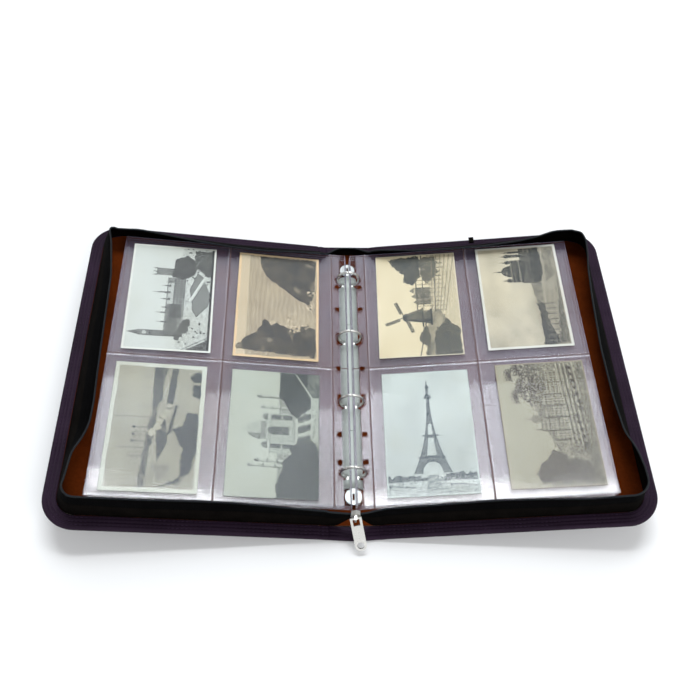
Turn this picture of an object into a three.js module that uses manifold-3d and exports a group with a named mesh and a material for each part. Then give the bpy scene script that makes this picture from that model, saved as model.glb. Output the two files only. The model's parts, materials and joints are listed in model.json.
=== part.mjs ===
// A ring-bound card album with a zip-around cover, lying open. Millimetres, +Z up.
// The origin is the middle of the spine's underside. +X points along the right cover, away from
// the spine, and +Y points to the end of the spine that is away from the slider.
import * as THREE from "three";
import { mergeVertices } from "three/addons/utils/BufferGeometryUtils.js";
import Module from "manifold-3d";

const wasm = await Module();
wasm.setup();

// Driving dimensions
const gap = 0.3;
const tilt = THREE.MathUtils.degToRad(7.14);
const hingeX = 28;
const hingeZ = 3.5;
const coverReach = 262;
const coverHalf = 181.5;
const cornerRadius = 32;
const skinThick = 0.8;
const boardThick = 2.6;
const liningThick = 1;
const coverUnder = -2.5;
const bindingWidth = 13;
const gussetThick = 1;
const gussetHeight = 31;
const coilWidth = 2.4;
const coilHeight = 1.8;
const spineBoardHalf = 24;
const spineTop = 5.1;
const ringZ = 19.5;
const ringRadius = 12.4;
const wireRadius = 1.4;
const ringSpots = [-120, -40, 40, 120];
const ringFootX = 6.5;
const plateHalf = 131.5;
const leafHalf = 155.4;
const leafReach = 236.7;
const leafBack = 9.8;
const leafDepths = [1.5, 5, 8.5];
const filmThick = 0.3;
const cardThick = 0.4;
const marginSeam = 18.8;
const columnSeam = 133.5;
const cardWide = 90;
const cardTall = 140;
const wallY = 167.5;
const sliderZ = 31.5;

const sides = { left: -1, right: 1 };
const album = new THREE.Group();

const material = (color, roughness, metalness = 0) =>
  new THREE.MeshStandardMaterial({ color, roughness, metalness });

function add(group, name, geometry, look) {
  const mesh = new THREE.Mesh(geometry, look);
  mesh.name = name;
  group.add(mesh);
  return mesh;
}

function box(lowX, highX, lowY, highY, lowZ, highZ) {
  const geometry = new THREE.BoxGeometry(highX - lowX, highY - lowY, highZ - lowZ);
  geometry.translate((lowX + highX) / 2, (lowY + highY) / 2, (lowZ + highZ) / 2);
  return geometry;
}

// An outline in X and Y, raised from one height to another.
function slab(shape, low, high, curveSegments = 8) {
  const depth = high - low;
  const geometry = new THREE.ExtrudeGeometry(shape, { depth, bevelEnabled: false, curveSegments });
  geometry.translate(0, 0, low);
  return geometry;
}

// An outline in X and Z, as deep along Y as from low to high.
function wall(points, low, high) {
  const shape = new THREE.Shape(points.map(([x, z]) => new THREE.Vector2(x, z)));
  const geometry = slab(shape, 0, high - low);
  geometry.rotateX(Math.PI / 2);
  geometry.translate(0, high, 0);
  return geometry;
}

function solid(geometry) {
  const bare = geometry.clone();
  bare.deleteAttribute("normal");
  bare.deleteAttribute("uv");
  const merged = mergeVertices(bare, 1e-4);
  return new wasm.Manifold(
    new wasm.Mesh({
      numProp: 3,
      vertProperties: merged.attributes.position.array,
      triVerts: new Uint32Array(merged.index.array),
    }),
  );
}

function surface(body) {
  const mesh = body.getMesh();
  const geometry = new THREE.BufferGeometry();
  geometry.setAttribute("position", new THREE.BufferAttribute(mesh.vertProperties, 3));
  geometry.setIndex(new THREE.BufferAttribute(mesh.triVerts, 1));
  return geometry;
}

const joined = (...pieces) => surface(pieces.map(solid).reduce((a, b) => a.add(b)));
const cut = (base, ...tools) => surface(tools.map(solid).reduce((a, b) => a.subtract(b), solid(base)));

// A cover's outline from the spine side to its outer edge, inset all round, with round outer corners.
function coverLine(side, start, inset) {
  const radius = cornerRadius - inset;
  const edge = coverReach - inset;
  const half = coverHalf - inset;
  const points = [[start, -half]];
  const steps = 8;
  for (const end of [-1, 1]) {
    for (let i = 0; i <= steps; i++) {
      const turn = (Math.PI / 2) * (end < 0 ? -1 + i / steps : i / steps);
      points.push([
        edge - radius + radius * Math.cos(turn),
        end * (half - radius) + radius * Math.sin(turn),
      ]);
    }
  }
  points.push([start, half]);
  return points.map(([u, y]) => new THREE.Vector2(side * u, y));
}

const coverPlate = (side, start, inset, low, high) =>
  slab(new THREE.Shape(coverLine(side, start, inset)), low, high);

// A strip of even width along the three free edges of a cover.
function coverStrip(side, start, outer, inner, low, high) {
  const outline = [...coverLine(side, start, outer), ...coverLine(side, start, inner).reverse()];
  return slab(new THREE.Shape(outline), low, high);
}

const leather = material(0x2d212f, 0.6);
const suede = material(0x5a260f, 0.95);
const greyBoard = material(0x6b655c, 0.9);
const blackCloth = material(0x12100f, 0.85);
const coilBlack = material(0x0d1216, 0.5);
const nickel = material(0xc2c5bd, 0.3, 1);
const plateNickel = material(0xaab5b2, 0.35, 1);
const clearFilm = material(0xababb6, 0.15);

function buildCovers() {
  for (const [word, side] of Object.entries(sides)) {
    const cover = new THREE.Group();
    cover.position.set(side * hingeX, 0, hingeZ);
    cover.rotation.y = -side * tilt;
    album.add(cover);
    const skinTop = coverUnder + skinThick;
    const boardTop = skinTop + gap + boardThick;
    const liningTop = boardTop + gap + liningThick;
    const inside = bindingWidth + gap;
    const wallOut = bindingWidth + 0.2;
    const gussetTop = liningTop + gap + gussetHeight;
    const coilOut = wallOut + (gussetThick - coilWidth) / 2;
    add(cover, `${word}_cover_skin`, coverPlate(side, gap, 0, coverUnder, skinTop), leather);
    add(cover, `${word}_cover_board`, coverPlate(side, 5, inside, skinTop + gap, boardTop), greyBoard);
    add(cover, `${word}_cover_lining`, coverPlate(side, 2, inside, boardTop + gap, liningTop), suede);
    add(
      cover,
      `${word}_cover_binding`,
      coverStrip(side, 2, 0.5, bindingWidth, skinTop + gap, liningTop),
      leather,
    );
    add(
      cover,
      `${word}_gusset`,
      coverStrip(side, 1, wallOut, wallOut + gussetThick, liningTop + gap, gussetTop),
      blackCloth,
    );
    add(
      cover,
      `${word}_zip_coil`,
      coverStrip(side, 1, coilOut, coilOut + coilWidth, gussetTop + gap, gussetTop + gap + coilHeight),
      coilBlack,
    );
    if (side > 0) {
      const tabX = 120.5;
      add(
        cover,
        "right_edge_tab",
        box(tabX - 2.8, tabX + 2.8, coverHalf - 6, coverHalf + 1.5, liningTop + gap, liningTop + gap + 1.6),
        blackCloth,
      );
    }
  }
}

function buildSpine() {
  const skinHalf = hingeX - gap;
  const liningHalf = spineBoardHalf + 1.2;
  const bindingStart = wallY + 1.5;
  const boardLow = skinThick + gap;
  const boardHigh = boardLow + boardThick;
  add(album, "spine_skin", box(-skinHalf, skinHalf, -coverHalf, coverHalf, 0, skinThick), leather);
  add(
    album,
    "spine_board",
    box(-spineBoardHalf, spineBoardHalf, -bindingStart + gap, bindingStart - gap, boardLow, boardHigh),
    greyBoard,
  );
  add(
    album,
    "spine_lining",
    box(-liningHalf, liningHalf, -bindingStart + gap, bindingStart - gap, boardHigh + gap, spineTop),
    suede,
  );
  for (const [word, end] of [["front", -1], ["back", 1]]) {
    const [low, high] = [end * bindingStart, end * (coverHalf - 0.5)].sort((a, b) => a - b);
    add(album, `spine_binding_${word}`, box(-liningHalf, liningHalf, low, high, boardLow, spineTop), leather);
  }
}

// The zip tape's ends over the spine: two flaps that rise to the slider, and a low sagging one behind.
function buildWebs() {
  const foot = spineTop + 0.4;
  const half = hingeX - 3.5;
  const rise = 35;
  for (const [word, side] of Object.entries(sides)) {
    const flap = [[half, foot], [half, rise], [4.9, rise - 1], [4.9, rise - 6], [17, foot]];
    add(
      album,
      `web_front_${word}`,
      wall(flap.map(([x, z]) => [side * x, z]), -wallY - 0.5, -wallY + 0.5),
      blackCloth,
    );
  }
  const sag = [[-half, foot], [half, foot], [half, rise - 8], [0, foot + 11], [-half, rise - 8]];
  add(album, "web_back", wall(sag, wallY - 0.5, wallY + 0.5), blackCloth);
}

// The arched plate that covers the spring blades, with a slot at every foot of a ring.
function buildBasePlate() {
  const outer = [[-10, 5.4], [-8.6, 8.4], [-4.5, 9.6], [4.5, 9.6], [8.6, 8.4], [10, 5.4]];
  const inner = [[8.8, 5.4], [7.7, 7.6], [4.2, 8.6], [-4.2, 8.6], [-7.7, 7.6], [-8.8, 5.4]];
  const slots = [];
  for (const y of ringSpots) {
    for (const side of [-1, 1]) {
      const [low, high] = [side * 4.6, side * 10.6].sort((a, b) => a - b);
      slots.push(box(low, high, y - 2.3, y + 2.3, 4, 11));
    }
  }
  add(album, "ring_base_plate", cut(wall([...outer, ...inner], -plateHalf, plateHalf), ...slots), plateNickel);
  for (const [word, end] of [["front", -1], ["back", 1]]) {
    const head = new THREE.CylinderGeometry(2.6, 3, 0.5, 16);
    head.rotateX(Math.PI / 2);
    head.translate(0, end * 66, 10.15);
    add(album, `base_rivet_${word}`, head, nickel);
  }
}

class HalfRing extends THREE.Curve {
  constructor(side) {
    super();
    this.side = side;
  }

  getPoint(t, target = new THREE.Vector3()) {
    const top = (gap / 2) / ringRadius;
    const foot = Math.PI - Math.asin(ringFootX / ringRadius);
    const turn = top + (foot - top) * t;
    return target.set(this.side * ringRadius * Math.sin(turn), 0, ringZ + ringRadius * Math.cos(turn));
  }
}

function buildRings() {
  const section = new THREE.Shape().absarc(0, 0, wireRadius, 0, 2 * Math.PI);
  for (const [word, side] of Object.entries(sides)) {
    const [low, high] = [side * 0.4, side * 7.4].sort((a, b) => a - b);
    const end = plateHalf - 1.5;
    add(album, `${word}_ring_blade`, box(low, high, -end, end, 6.2, 7.2), nickel);
    ringSpots.forEach((y, i) => {
      const extrudePath = new HalfRing(side);
      const wire = new THREE.ExtrudeGeometry(section, { steps: 14, curveSegments: 4, extrudePath });
      wire.translate(0, y, 0);
      add(album, `${word}_ring_${i + 1}`, wire, nickel);
    });
  }
  for (const [word, end] of [["front", -1], ["back", 1]]) {
    const disc = new THREE.CylinderGeometry(8.25, 8.25, 1.2, 48);
    disc.rotateX(Math.PI / 2);
    disc.translate(0, end * 141, 9.4);
    const [low, high] = [end * 131.8, end * 135.2].sort((a, b) => a - b);
    const [slotLow, slotHigh] = [end * 137.5, end * 145].sort((a, b) => a - b);
    const stem = box(-3, 3, low, high, 6.2, 9);
    const slot = box(-1.1, 1.1, slotLow, slotHigh, 8, 11);
    add(album, `opening_lever_${word}`, cut(joined(disc, stem), slot), nickel);
  }
}

const punchedHole = (u, y, radius) => new THREE.Path().absarc(u, y, radius, 0, 2 * Math.PI);

function punchedSlot(u, y, radius, reach) {
  const path = new THREE.Path();
  path.absarc(u, y + reach, radius, 0, Math.PI);
  path.absarc(u, y - reach, radius, Math.PI, 2 * Math.PI);
  return path;
}

// One sheet of a leaf, with the filing holes of its punched margin.
function leafSheet(side, depth, low, high) {
  const holeU = Math.sqrt(ringRadius ** 2 - depth ** 2);
  const inner = Math.max(0.6, holeU - leafBack);
  const outer = holeU + leafReach;
  const corners = [[inner, -leafHalf], [outer, -leafHalf], [outer, leafHalf], [inner, leafHalf]];
  const shape = new THREE.Shape(corners.map(([u, y]) => new THREE.Vector2(side * u, y)));
  for (const end of [-1, 1]) {
    shape.holes.push(punchedHole(side * holeU, end * 120, 3.2));
    shape.holes.push(punchedHole(side * holeU, end * 109, 2.5));
    shape.holes.push(punchedHole(side * holeU, end * 78, 2.5));
    shape.holes.push(punchedSlot(side * holeU, end * 38.5, 3.2, 4.3));
  }
  shape.holes.push(punchedHole(side * holeU, 0, 2.5));
  return slab(shape, low, high, 5);
}

// The welded seams that divide a leaf into four pockets.
function seams(side, low, high) {
  const width = 1.6;
  const bar = (u, lowY, highY) => {
    const [a, b] = [side * (u - width / 2), side * (u + width / 2)].sort((x, y) => x - y);
    return box(a, b, lowY, highY, low, high);
  };
  const [from, to] = [side * (marginSeam + 1), side * (leafReach + 10)].sort((x, y) => x - y);
  const end = leafHalf - 1;
  return [bar(marginSeam, -end, end), bar(columnSeam, -end, end), box(from, to, -width / 2, width / 2, low, high)];
}

// A card with a gently waved trim when wave is more than 0.
function cardBlank(wide, tall, wave) {
  if (!wave) {
    return box(-wide / 2, wide / 2, -tall / 2, tall / 2, 0, cardThick);
  }
  const points = [];
  const pitch = 5;
  const run = (x, y, stepX, stepY, length) => {
    const count = Math.round(length / pitch) * 2;
    for (let i = 0; i < count; i++) {
      const inset = i % 2 ? wave : 0;
      const along = (i * length) / count;
      points.push(new THREE.Vector2(x + stepX * along - stepY * inset, y + stepY * along + stepX * inset));
    }
  };
  run(-wide / 2, -tall / 2, 1, 0, wide);
  run(wide / 2, -tall / 2, 0, 1, tall);
  run(wide / 2, tall / 2, -1, 0, wide);
  run(-wide / 2, tall / 2, 0, -1, tall);
  return slab(new THREE.Shape(points), 0, cardThick);
}

// Each card's drift from the middle of its pocket, its turn in degrees and its trim.
const cards = {
  left: [
    { column: 1, row: 1, drift: [1.7, -0.9], turn: 1, color: 0xb9bfba },
    { column: 0, row: 1, drift: [2.4, -1.1], turn: -0.3, color: 0xa08f74 },
    { column: 1, row: -1, drift: [1.9, -1.9], turn: 0.2, color: 0xb0b6ae },
    { column: 0, row: -1, drift: [2.1, -2.4], turn: -0.4, color: 0xa0ada4 },
  ],
  right: [
    { column: 0, row: 1, drift: [0.6, 2.6], turn: -0.6, color: 0xc4bea8 },
    { column: 1, row: 1, drift: [0.4, 4.4], turn: -0.3, color: 0xb5b2a0 },
    { column: 0, row: -1, drift: [0.4, -1], turn: -0.2, wave: 0.7, color: 0xc9d3cf },
    { column: 1, row: -1, drift: [3.5, 1.1], turn: -0.3, color: 0xc6ccc0 },
  ],
};

function buildLeaves() {
  for (const [word, side] of Object.entries(sides)) {
    const leaves = new THREE.Group();
    leaves.position.set(0, 0, ringZ);
    leaves.rotation.y = -side * tilt;
    album.add(leaves);
    const depth = leafDepths[0];
    const backLow = -depth - cardThick / 2 - gap - filmThick;
    const cardLow = backLow + filmThick + gap;
    const frontLow = cardLow + cardThick + gap;
    const frontHigh = frontLow + filmThick;
    const ribs = seams(side, frontLow + 0.1, frontHigh + 0.25);
    const front = joined(leafSheet(side, depth, frontLow, frontHigh), ...ribs);
    add(leaves, `${word}_leaf_back_film`, leafSheet(side, depth, backLow, backLow + filmThick), clearFilm);
    add(leaves, `${word}_leaf_front_film`, front, clearFilm);
    for (const i of [1, 2]) {
      const sheet = leafSheet(side, leafDepths[i], -leafDepths[i] - filmThick, -leafDepths[i] + filmThick);
      add(leaves, `${word}_under_leaf_${i}`, sheet, clearFilm);
    }
    const middles = [(marginSeam + columnSeam) / 2, (columnSeam + leafReach + 12.3) / 2];
    cards[word].forEach(({ column, row, drift, turn, wave, color }, i) => {
      const blank = cardBlank(cardWide, cardTall, wave);
      const card = add(leaves, `${word}_card_${i + 1}`, blank, material(color, 0.7));
      card.position.set(side * (middles[column] + drift[0]), (row * leafHalf) / 2 + drift[1], cardLow);
      card.rotation.z = THREE.MathUtils.degToRad(turn);
    });
  }
}

// The slider stands in the zip's line with its bridge to the front, and the puller hangs from it.
function buildSlider() {
  const shield = [[-2.2, -6], [2.2, -6], [4.6, -0.5], [4.2, 4], [0, 6], [-4.2, 4], [-4.6, -0.5]];
  const back = -wallY + 1.3;
  const front = -wallY - 2.5;
  const body = wall(shield.map(([x, z]) => [x, sliderZ + z]), front, back);
  const bridge = cut(
    box(-1, 1, front - 4.4, front + 0.5, sliderZ - 3.5, sliderZ + 3.5),
    box(-2, 2, front - 3.4, front, sliderZ - 2.5, sliderZ + 2.5),
  );
  add(album, "zip_slider", joined(body, bridge), nickel);

  const wide = 11;
  const long = 34;
  const outline = new THREE.Shape();
  outline.moveTo(-wide / 2, 0.9);
  outline.lineTo(-wide / 2, -long + wide / 2);
  outline.absarc(0, -long + wide / 2, wide / 2, Math.PI, 2 * Math.PI);
  outline.lineTo(wide / 2, 0.9);
  const window = new THREE.Path([[-3.2, -0.9], [3.2, -0.9], [3.2, -7.6], [-3.2, -7.6]].map(
    ([x, y]) => new THREE.Vector2(x, y),
  ));
  const eye = new THREE.Path().absarc(0, -long + wide / 2, 3.4, 0, 2 * Math.PI);
  outline.holes.push(window, eye);
  const puller = add(album, "zip_puller", slab(outline, -0.8, 0.8, 20), nickel);
  const down = new THREE.Vector3(6.6, -21.4, -25.7).normalize();
  const across = new THREE.Vector3(1, 0, 0).addScaledVector(down, -down.x).normalize();
  const up = down.clone().negate();
  const facing = new THREE.Vector3().crossVectors(across, up);
  puller.setRotationFromMatrix(new THREE.Matrix4().makeBasis(across, up, facing));
  puller.position.set(0, front - 1.95, sliderZ);
}

buildSpine();
buildWebs();
buildBasePlate();
buildRings();
buildCovers();
buildLeaves();
buildSlider();

export default album;
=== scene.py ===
import json
import math

import bpy
import numpy as np
from mathutils import Matrix, Vector


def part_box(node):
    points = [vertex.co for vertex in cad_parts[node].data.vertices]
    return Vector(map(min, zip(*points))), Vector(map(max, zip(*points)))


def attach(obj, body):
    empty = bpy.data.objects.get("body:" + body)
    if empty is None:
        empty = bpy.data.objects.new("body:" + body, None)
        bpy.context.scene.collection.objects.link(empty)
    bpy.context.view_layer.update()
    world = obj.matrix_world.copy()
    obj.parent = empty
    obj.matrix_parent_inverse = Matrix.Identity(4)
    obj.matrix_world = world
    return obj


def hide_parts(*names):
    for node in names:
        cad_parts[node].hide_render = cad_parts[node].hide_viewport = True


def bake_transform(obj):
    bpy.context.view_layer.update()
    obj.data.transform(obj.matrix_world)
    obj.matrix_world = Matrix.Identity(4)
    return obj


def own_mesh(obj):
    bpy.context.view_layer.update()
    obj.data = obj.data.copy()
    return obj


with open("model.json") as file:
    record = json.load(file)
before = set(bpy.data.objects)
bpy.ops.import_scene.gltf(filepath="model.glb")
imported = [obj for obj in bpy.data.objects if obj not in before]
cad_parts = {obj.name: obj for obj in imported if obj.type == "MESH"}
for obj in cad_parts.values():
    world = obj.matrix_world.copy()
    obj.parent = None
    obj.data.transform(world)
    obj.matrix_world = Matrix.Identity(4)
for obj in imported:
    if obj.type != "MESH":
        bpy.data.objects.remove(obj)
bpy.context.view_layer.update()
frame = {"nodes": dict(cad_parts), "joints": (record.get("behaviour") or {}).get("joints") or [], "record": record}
scene = bpy.context.scene
joints = {joint["name"]: joint for joint in frame["joints"]}

mm = 0.001
sides = {"left": -1, "right": 1}

# Places that the frame gives
hingeX, _, hingeZ = joints["right_cover_fold"]["pos_m"]
ringZ = joints["right_leaf_turn"]["pos_m"][2]
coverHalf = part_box("right_cover_skin")[1][1]
ringSpots = [
    (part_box(f"right_ring_{i}")[0][1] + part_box(f"right_ring_{i}")[1][1]) / 2 for i in range(1, 5)
]

# The cover, in metres from its hinge line and from the middle of its thickness
tilt = math.radians(7.14)
coverReach = 262 * mm
cornerRadius = 32 * mm
gutterStart = -4 * mm
gutterEnd = 5 * mm
spineDrop = 1.0 * mm
liningZ = 2.5 * mm
leatherZ = -2.4 * mm
bindingWidth = 13 * mm
wallInset = 13.1 * mm
tapeHeight = 33 * mm
tapeFoot = 2.2 * mm

# A leaf, in metres from the ring line and from the ring axis
leafHalf = 155.4 * mm
marginSeam = 18.8 * mm
columnSeam = 133.5 * mm
leafReach = 236.7 * mm
leafBack = 9.8 * mm
leafDepths = [1.5 * mm, 5.0 * mm, 8.5 * mm]
ringRadius = 12.4 * mm
wireRadius = 1.4 * mm


def smooth(t):
    t = np.clip(t, 0, 1)
    return t * t * (3 - 2 * t)


# A point of a cover: u out from the hinge line, z up from mid-thickness. Before the gutter it lies
# on the spine, and over the gutter it turns smoothly up to the cover's tilt.
def place(side, u, y, z):
    u, y, z = np.broadcast_arrays(np.asarray(u, float), np.asarray(y, float), np.asarray(z, float))
    share = smooth((u - gutterStart) / (gutterEnd - gutterStart))
    turn = share * tilt
    rise = z - (1 - share) * spineDrop
    x = hingeX + u * np.cos(turn) - rise * np.sin(turn)
    height = hingeZ + u * np.sin(turn) + rise * np.cos(turn)
    return np.stack([side * x, y, height], -1)


# A point of a leaf: u out from the ring line, z up from the ring axis, both along the leaf.
def placeLeaf(side, u, y, z):
    u, y, z = np.broadcast_arrays(np.asarray(u, float), np.asarray(y, float), np.asarray(z, float))
    x = u * math.cos(tilt) - z * math.sin(tilt)
    height = ringZ + u * math.sin(tilt) + z * math.cos(tilt)
    return np.stack([side * x, y, height], -1)


def makeObject(name, points, faces, flat=None):
    mesh = bpy.data.meshes.new(name)
    mesh.from_pydata(np.asarray(points, float).reshape(-1, 3).tolist(), [], faces)
    mesh.polygons.foreach_set("use_smooth", [True] * len(mesh.polygons))
    if flat is not None:
        layer = mesh.uv_layers.new(name="flat")
        loops = np.empty(len(mesh.loops), int)
        mesh.loops.foreach_get("vertex_index", loops)
        layer.data.foreach_set("uv", np.asarray(flat, float).reshape(-1, 2)[loops].ravel())
    mesh.update()
    piece = bpy.data.objects.new(name, mesh)
    scene.collection.objects.link(piece)
    return piece


def gridFaces(rows, columns, wrap=False, flip=False):
    count = columns if wrap else columns - 1
    faces = []
    for i in range(rows - 1):
        for j in range(count):
            k = (j + 1) % columns
            quad = (i * columns + j, i * columns + k, (i + 1) * columns + k, (i + 1) * columns + j)
            faces.append(quad[::-1] if flip else quad)
    return faces


def gridPiece(name, points, flat=None, wrap=False, flip=False, caps=False):
    rows, columns = points.shape[:2]
    faces = gridFaces(rows, columns, wrap, flip)
    if caps:
        first = tuple(range(columns))
        last = tuple(range((rows - 1) * columns, rows * columns))
        faces += [first, last[::-1]] if flip else [first[::-1], last]
    return makeObject(name, points, faces, flat)


def valueNoise(seed, rows, columns, cells):
    rng = np.random.default_rng(seed)
    grid = rng.random((cells + 2, cells + 2))
    y = np.linspace(0, cells, rows)
    x = np.linspace(0, cells, columns)
    yi = y.astype(int)
    xi = x.astype(int)
    yf = smooth(y - yi)[:, None]
    xf = smooth(x - xi)[None, :]
    top = grid[yi][:, xi] * (1 - xf) + grid[yi][:, xi + 1] * xf
    low = grid[yi + 1][:, xi] * (1 - xf) + grid[yi + 1][:, xi + 1] * xf
    return top * (1 - yf) + low * yf


def fractalNoise(seed, rows, columns, cells, octaves=4):
    total = np.zeros((rows, columns))
    weight = 0
    for k in range(octaves):
        total += valueNoise(seed + 17 * k, rows, columns, cells * 2**k) / 1.7**k
        weight += 1 / 1.7**k
    return total / weight


# Materials


class Look:
    def __init__(self, name):
        self.material = bpy.data.materials.new(name)
        self.material.use_nodes = True
        self.tree = self.material.node_tree
        self.tree.nodes.clear()
        self.out = self.tree.nodes.new("ShaderNodeOutputMaterial")
        self.shader = self.tree.nodes.new("ShaderNodeBsdfPrincipled")
        self.link(self.shader.outputs[0], self.out.inputs["Surface"])

    def node(self, kind, **values):
        made = self.tree.nodes.new(kind)
        for key, value in values.items():
            setattr(made, key, value)
        return made

    def link(self, source, target):
        self.tree.links.new(source, target)

    def feed(self, name, source):
        self.link(source, self.shader.inputs[name])

    def set(self, **values):
        for key, value in values.items():
            self.shader.inputs[key.replace("_", " ")].default_value = value

    def texture(self, kind, scale, vector, **inputs):
        made = self.node(kind)
        made.inputs["Scale"].default_value = scale
        for key, value in inputs.items():
            made.inputs[key.replace("_", " ")].default_value = value
        self.link(vector, made.inputs["Vector"])
        return made

    # One of the shared groups, with its values and links given by input name
    def place(self, group, source, **inputs):
        made = self.node("ShaderNodeGroup", node_tree=group)
        for key, value in inputs.items():
            made.inputs[key].default_value = (*value, 1) if isinstance(value, tuple) else value
        self.link(source, made.inputs[0])
        return made

    def objectPoint(self):
        return self.node("ShaderNodeTexCoord").outputs["Object"]

    def flatPoint(self):
        return self.node("ShaderNodeUVMap", uv_map="flat").outputs["UV"]

    def span(self, source, low, high, fromLow=0.0, fromHigh=1.0):
        made = self.node("ShaderNodeMapRange")
        made.inputs["From Min"].default_value = fromLow
        made.inputs["From Max"].default_value = fromHigh
        made.inputs["To Min"].default_value = low
        made.inputs["To Max"].default_value = high
        self.link(source, made.inputs["Value"])
        return made.outputs["Result"]

    def times(self, a, b):
        made = self.node("ShaderNodeMix", data_type="RGBA", blend_type="MULTIPLY")
        made.inputs["Factor"].default_value = 1.0
        self.link(a, made.inputs["A"])
        self.link(b, made.inputs["B"])
        return made.outputs["Result"]

    def math(self, operation, a, b):
        made = self.node("ShaderNodeMath", operation=operation)
        for socket, value in zip(made.inputs, (a, b)):
            if isinstance(value, (int, float)):
                socket.default_value = value
            else:
                self.link(value, socket)
        return made.outputs["Value"]

    def bump(self, height, distance, strength=1.0, before=None):
        made = self.node("ShaderNodeBump")
        made.inputs["Distance"].default_value = distance
        made.inputs["Strength"].default_value = strength
        self.link(height, made.inputs["Height"])
        if before is not None:
            self.link(before, made.inputs["Normal"])
        self.feed("Normal", made.outputs["Normal"])
        return made.outputs["Normal"]


def scaled(color, factor):
    return tuple(c * factor for c in color)


def newGroup(name, inputs, outputs):
    group = bpy.data.node_groups.new(name, "ShaderNodeTree")
    for label, kind in inputs.items():
        group.interface.new_socket(label, in_out="INPUT", socket_type=f"NodeSocket{kind}")
    for label, kind in outputs.items():
        group.interface.new_socket(label, in_out="OUTPUT", socket_type=f"NodeSocket{kind}")
    return group, group.nodes.new("NodeGroupInput").outputs, group.nodes.new("NodeGroupOutput").inputs


# Cloudy unevenness of a surface: a tone between dark and light, and the noise it comes from
def mottleGroup():
    inputs = {"Vector": "Vector", "Scale": "Float", "Detail": "Float", "Low": "Float", "High": "Float",
              "Dark": "Color", "Light": "Color"}
    group, given, made = newGroup("mottled tone", inputs, {"Color": "Color", "Value": "Float"})
    noise = group.nodes.new("ShaderNodeTexNoise")
    share = group.nodes.new("ShaderNodeMapRange")
    blend = group.nodes.new("ShaderNodeMix")
    blend.data_type = "RGBA"
    for source, target in (
        (given["Vector"], noise.inputs["Vector"]), (given["Scale"], noise.inputs["Scale"]),
        (given["Detail"], noise.inputs["Detail"]), (noise.outputs["Fac"], share.inputs["Value"]),
        (given["Low"], share.inputs["From Min"]), (given["High"], share.inputs["From Max"]),
        (share.outputs["Result"], blend.inputs["Factor"]), (given["Dark"], blend.inputs["A"]),
        (given["Light"], blend.inputs["B"]), (blend.outputs["Result"], made["Color"]),
        (noise.outputs["Fac"], made["Value"]),
    ):
        group.links.new(source, target)
    return group


mottle = mottleGroup()


leatherLook = {"color": (0.0185, 0.0088, 0.0210), "grain": 950, "roughness": 0.58}


def leatherMaterial():
    look = Look("plum_leatherette")
    point = look.objectPoint()
    cells = look.texture("ShaderNodeTexVoronoi", leatherLook["grain"], point)
    cells.feature = "DISTANCE_TO_EDGE"
    folds = look.texture("ShaderNodeTexNoise", 120, point, Detail=4.0, Roughness=0.6)
    base = leatherLook["color"]
    wear = look.place(mottle, point, Scale=22, Detail=3, Low=0.3, High=0.8, Dark=scaled(base, 0.78),
                      Light=scaled(base, 1.4))
    look.feed("Base Color", wear.outputs["Color"])
    low = leatherLook["roughness"] - 0.08
    high = leatherLook["roughness"] + 0.12
    look.feed("Roughness", look.span(folds.outputs["Fac"], low, high))
    creases = look.bump(folds.outputs["Fac"], 0.35 * mm, 0.6)
    look.bump(look.span(cells.outputs["Distance"], 0, 1, 0, 0.25), 0.09 * mm, 0.75, creases)
    look.set(Specular_IOR_Level=0.11)
    return look.material


suedeLook = {"color": (0.150, 0.0290, 0.0042), "shade": (0.070, 0.0130, 0.0022), "nap": 2600}


def suedeMaterial():
    look = Look("rust_suede")
    point = look.objectPoint()
    nap = look.texture("ShaderNodeTexNoise", suedeLook["nap"], point, Detail=2.0)
    brushed = look.place(mottle, point, Scale=14, Detail=6, Low=0.34, High=0.66, Dark=suedeLook["shade"],
                         Light=suedeLook["color"])
    speckle = look.place(mottle, point, Scale=420, Detail=3, Low=0.3, High=0.7, Dark=(0.8, 0.8, 0.8),
                         Light=(1.0, 1.0, 1.0))
    look.feed("Base Color", look.times(brushed.outputs["Color"], speckle.outputs["Color"]))
    look.bump(nap.outputs["Fac"], 0.25 * mm, 0.8)
    look.set(Roughness=0.93, Specular_IOR_Level=0.03)
    return look.material


clothLook = {"color": (0.0032, 0.0025, 0.0021), "zipTape": (0.0009, 0.0009, 0.0011), "thread": 900,
             "roughness": 0.9}


def clothMaterial(name="black_tape_cloth", color=None, upper=None):
    look = Look(name)
    color = color or clothLook["color"]
    upper = upper or clothLook["zipTape"]
    point = look.flatPoint()
    split = look.node("ShaderNodeSeparateXYZ")
    look.link(point, split.inputs[0])
    turns = 2 * math.pi * clothLook["thread"]
    diagonal = look.math("ADD", split.outputs["X"], split.outputs["Y"])
    twill = look.math("SINE", look.math("MULTIPLY", diagonal, turns), 0)
    across = look.math("SINE", look.math("MULTIPLY", split.outputs["X"], turns * 0.5), 0)
    weave = look.math("ADD", twill, look.math("MULTIPLY", across, 0.4))
    tones = []
    for tone in (color, upper):
        dust = look.place(mottle, point, Scale=60, Detail=6, Low=0.35, High=0.85, Dark=scaled(tone, 0.75),
                          Light=scaled(tone, 1.9))
        tones.append(dust.outputs["Color"])
    part = look.node("ShaderNodeMix", data_type="RGBA")
    above = look.span(split.outputs["Y"], 0, 1, 0.56 * tapeHeight, 0.60 * tapeHeight)
    look.link(above, part.inputs["Factor"])
    look.link(tones[0], part.inputs["A"])
    look.link(tones[1], part.inputs["B"])
    look.feed("Base Color", part.outputs["Result"])
    look.bump(weave, 0.09 * mm, 0.9)
    look.set(Roughness=clothLook["roughness"], Specular_IOR_Level=0.03)
    return look.material


coilLook = {"color": (0.0025, 0.0040, 0.0058), "roughness": 0.6, "pitch": 1.5 * mm}


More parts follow.
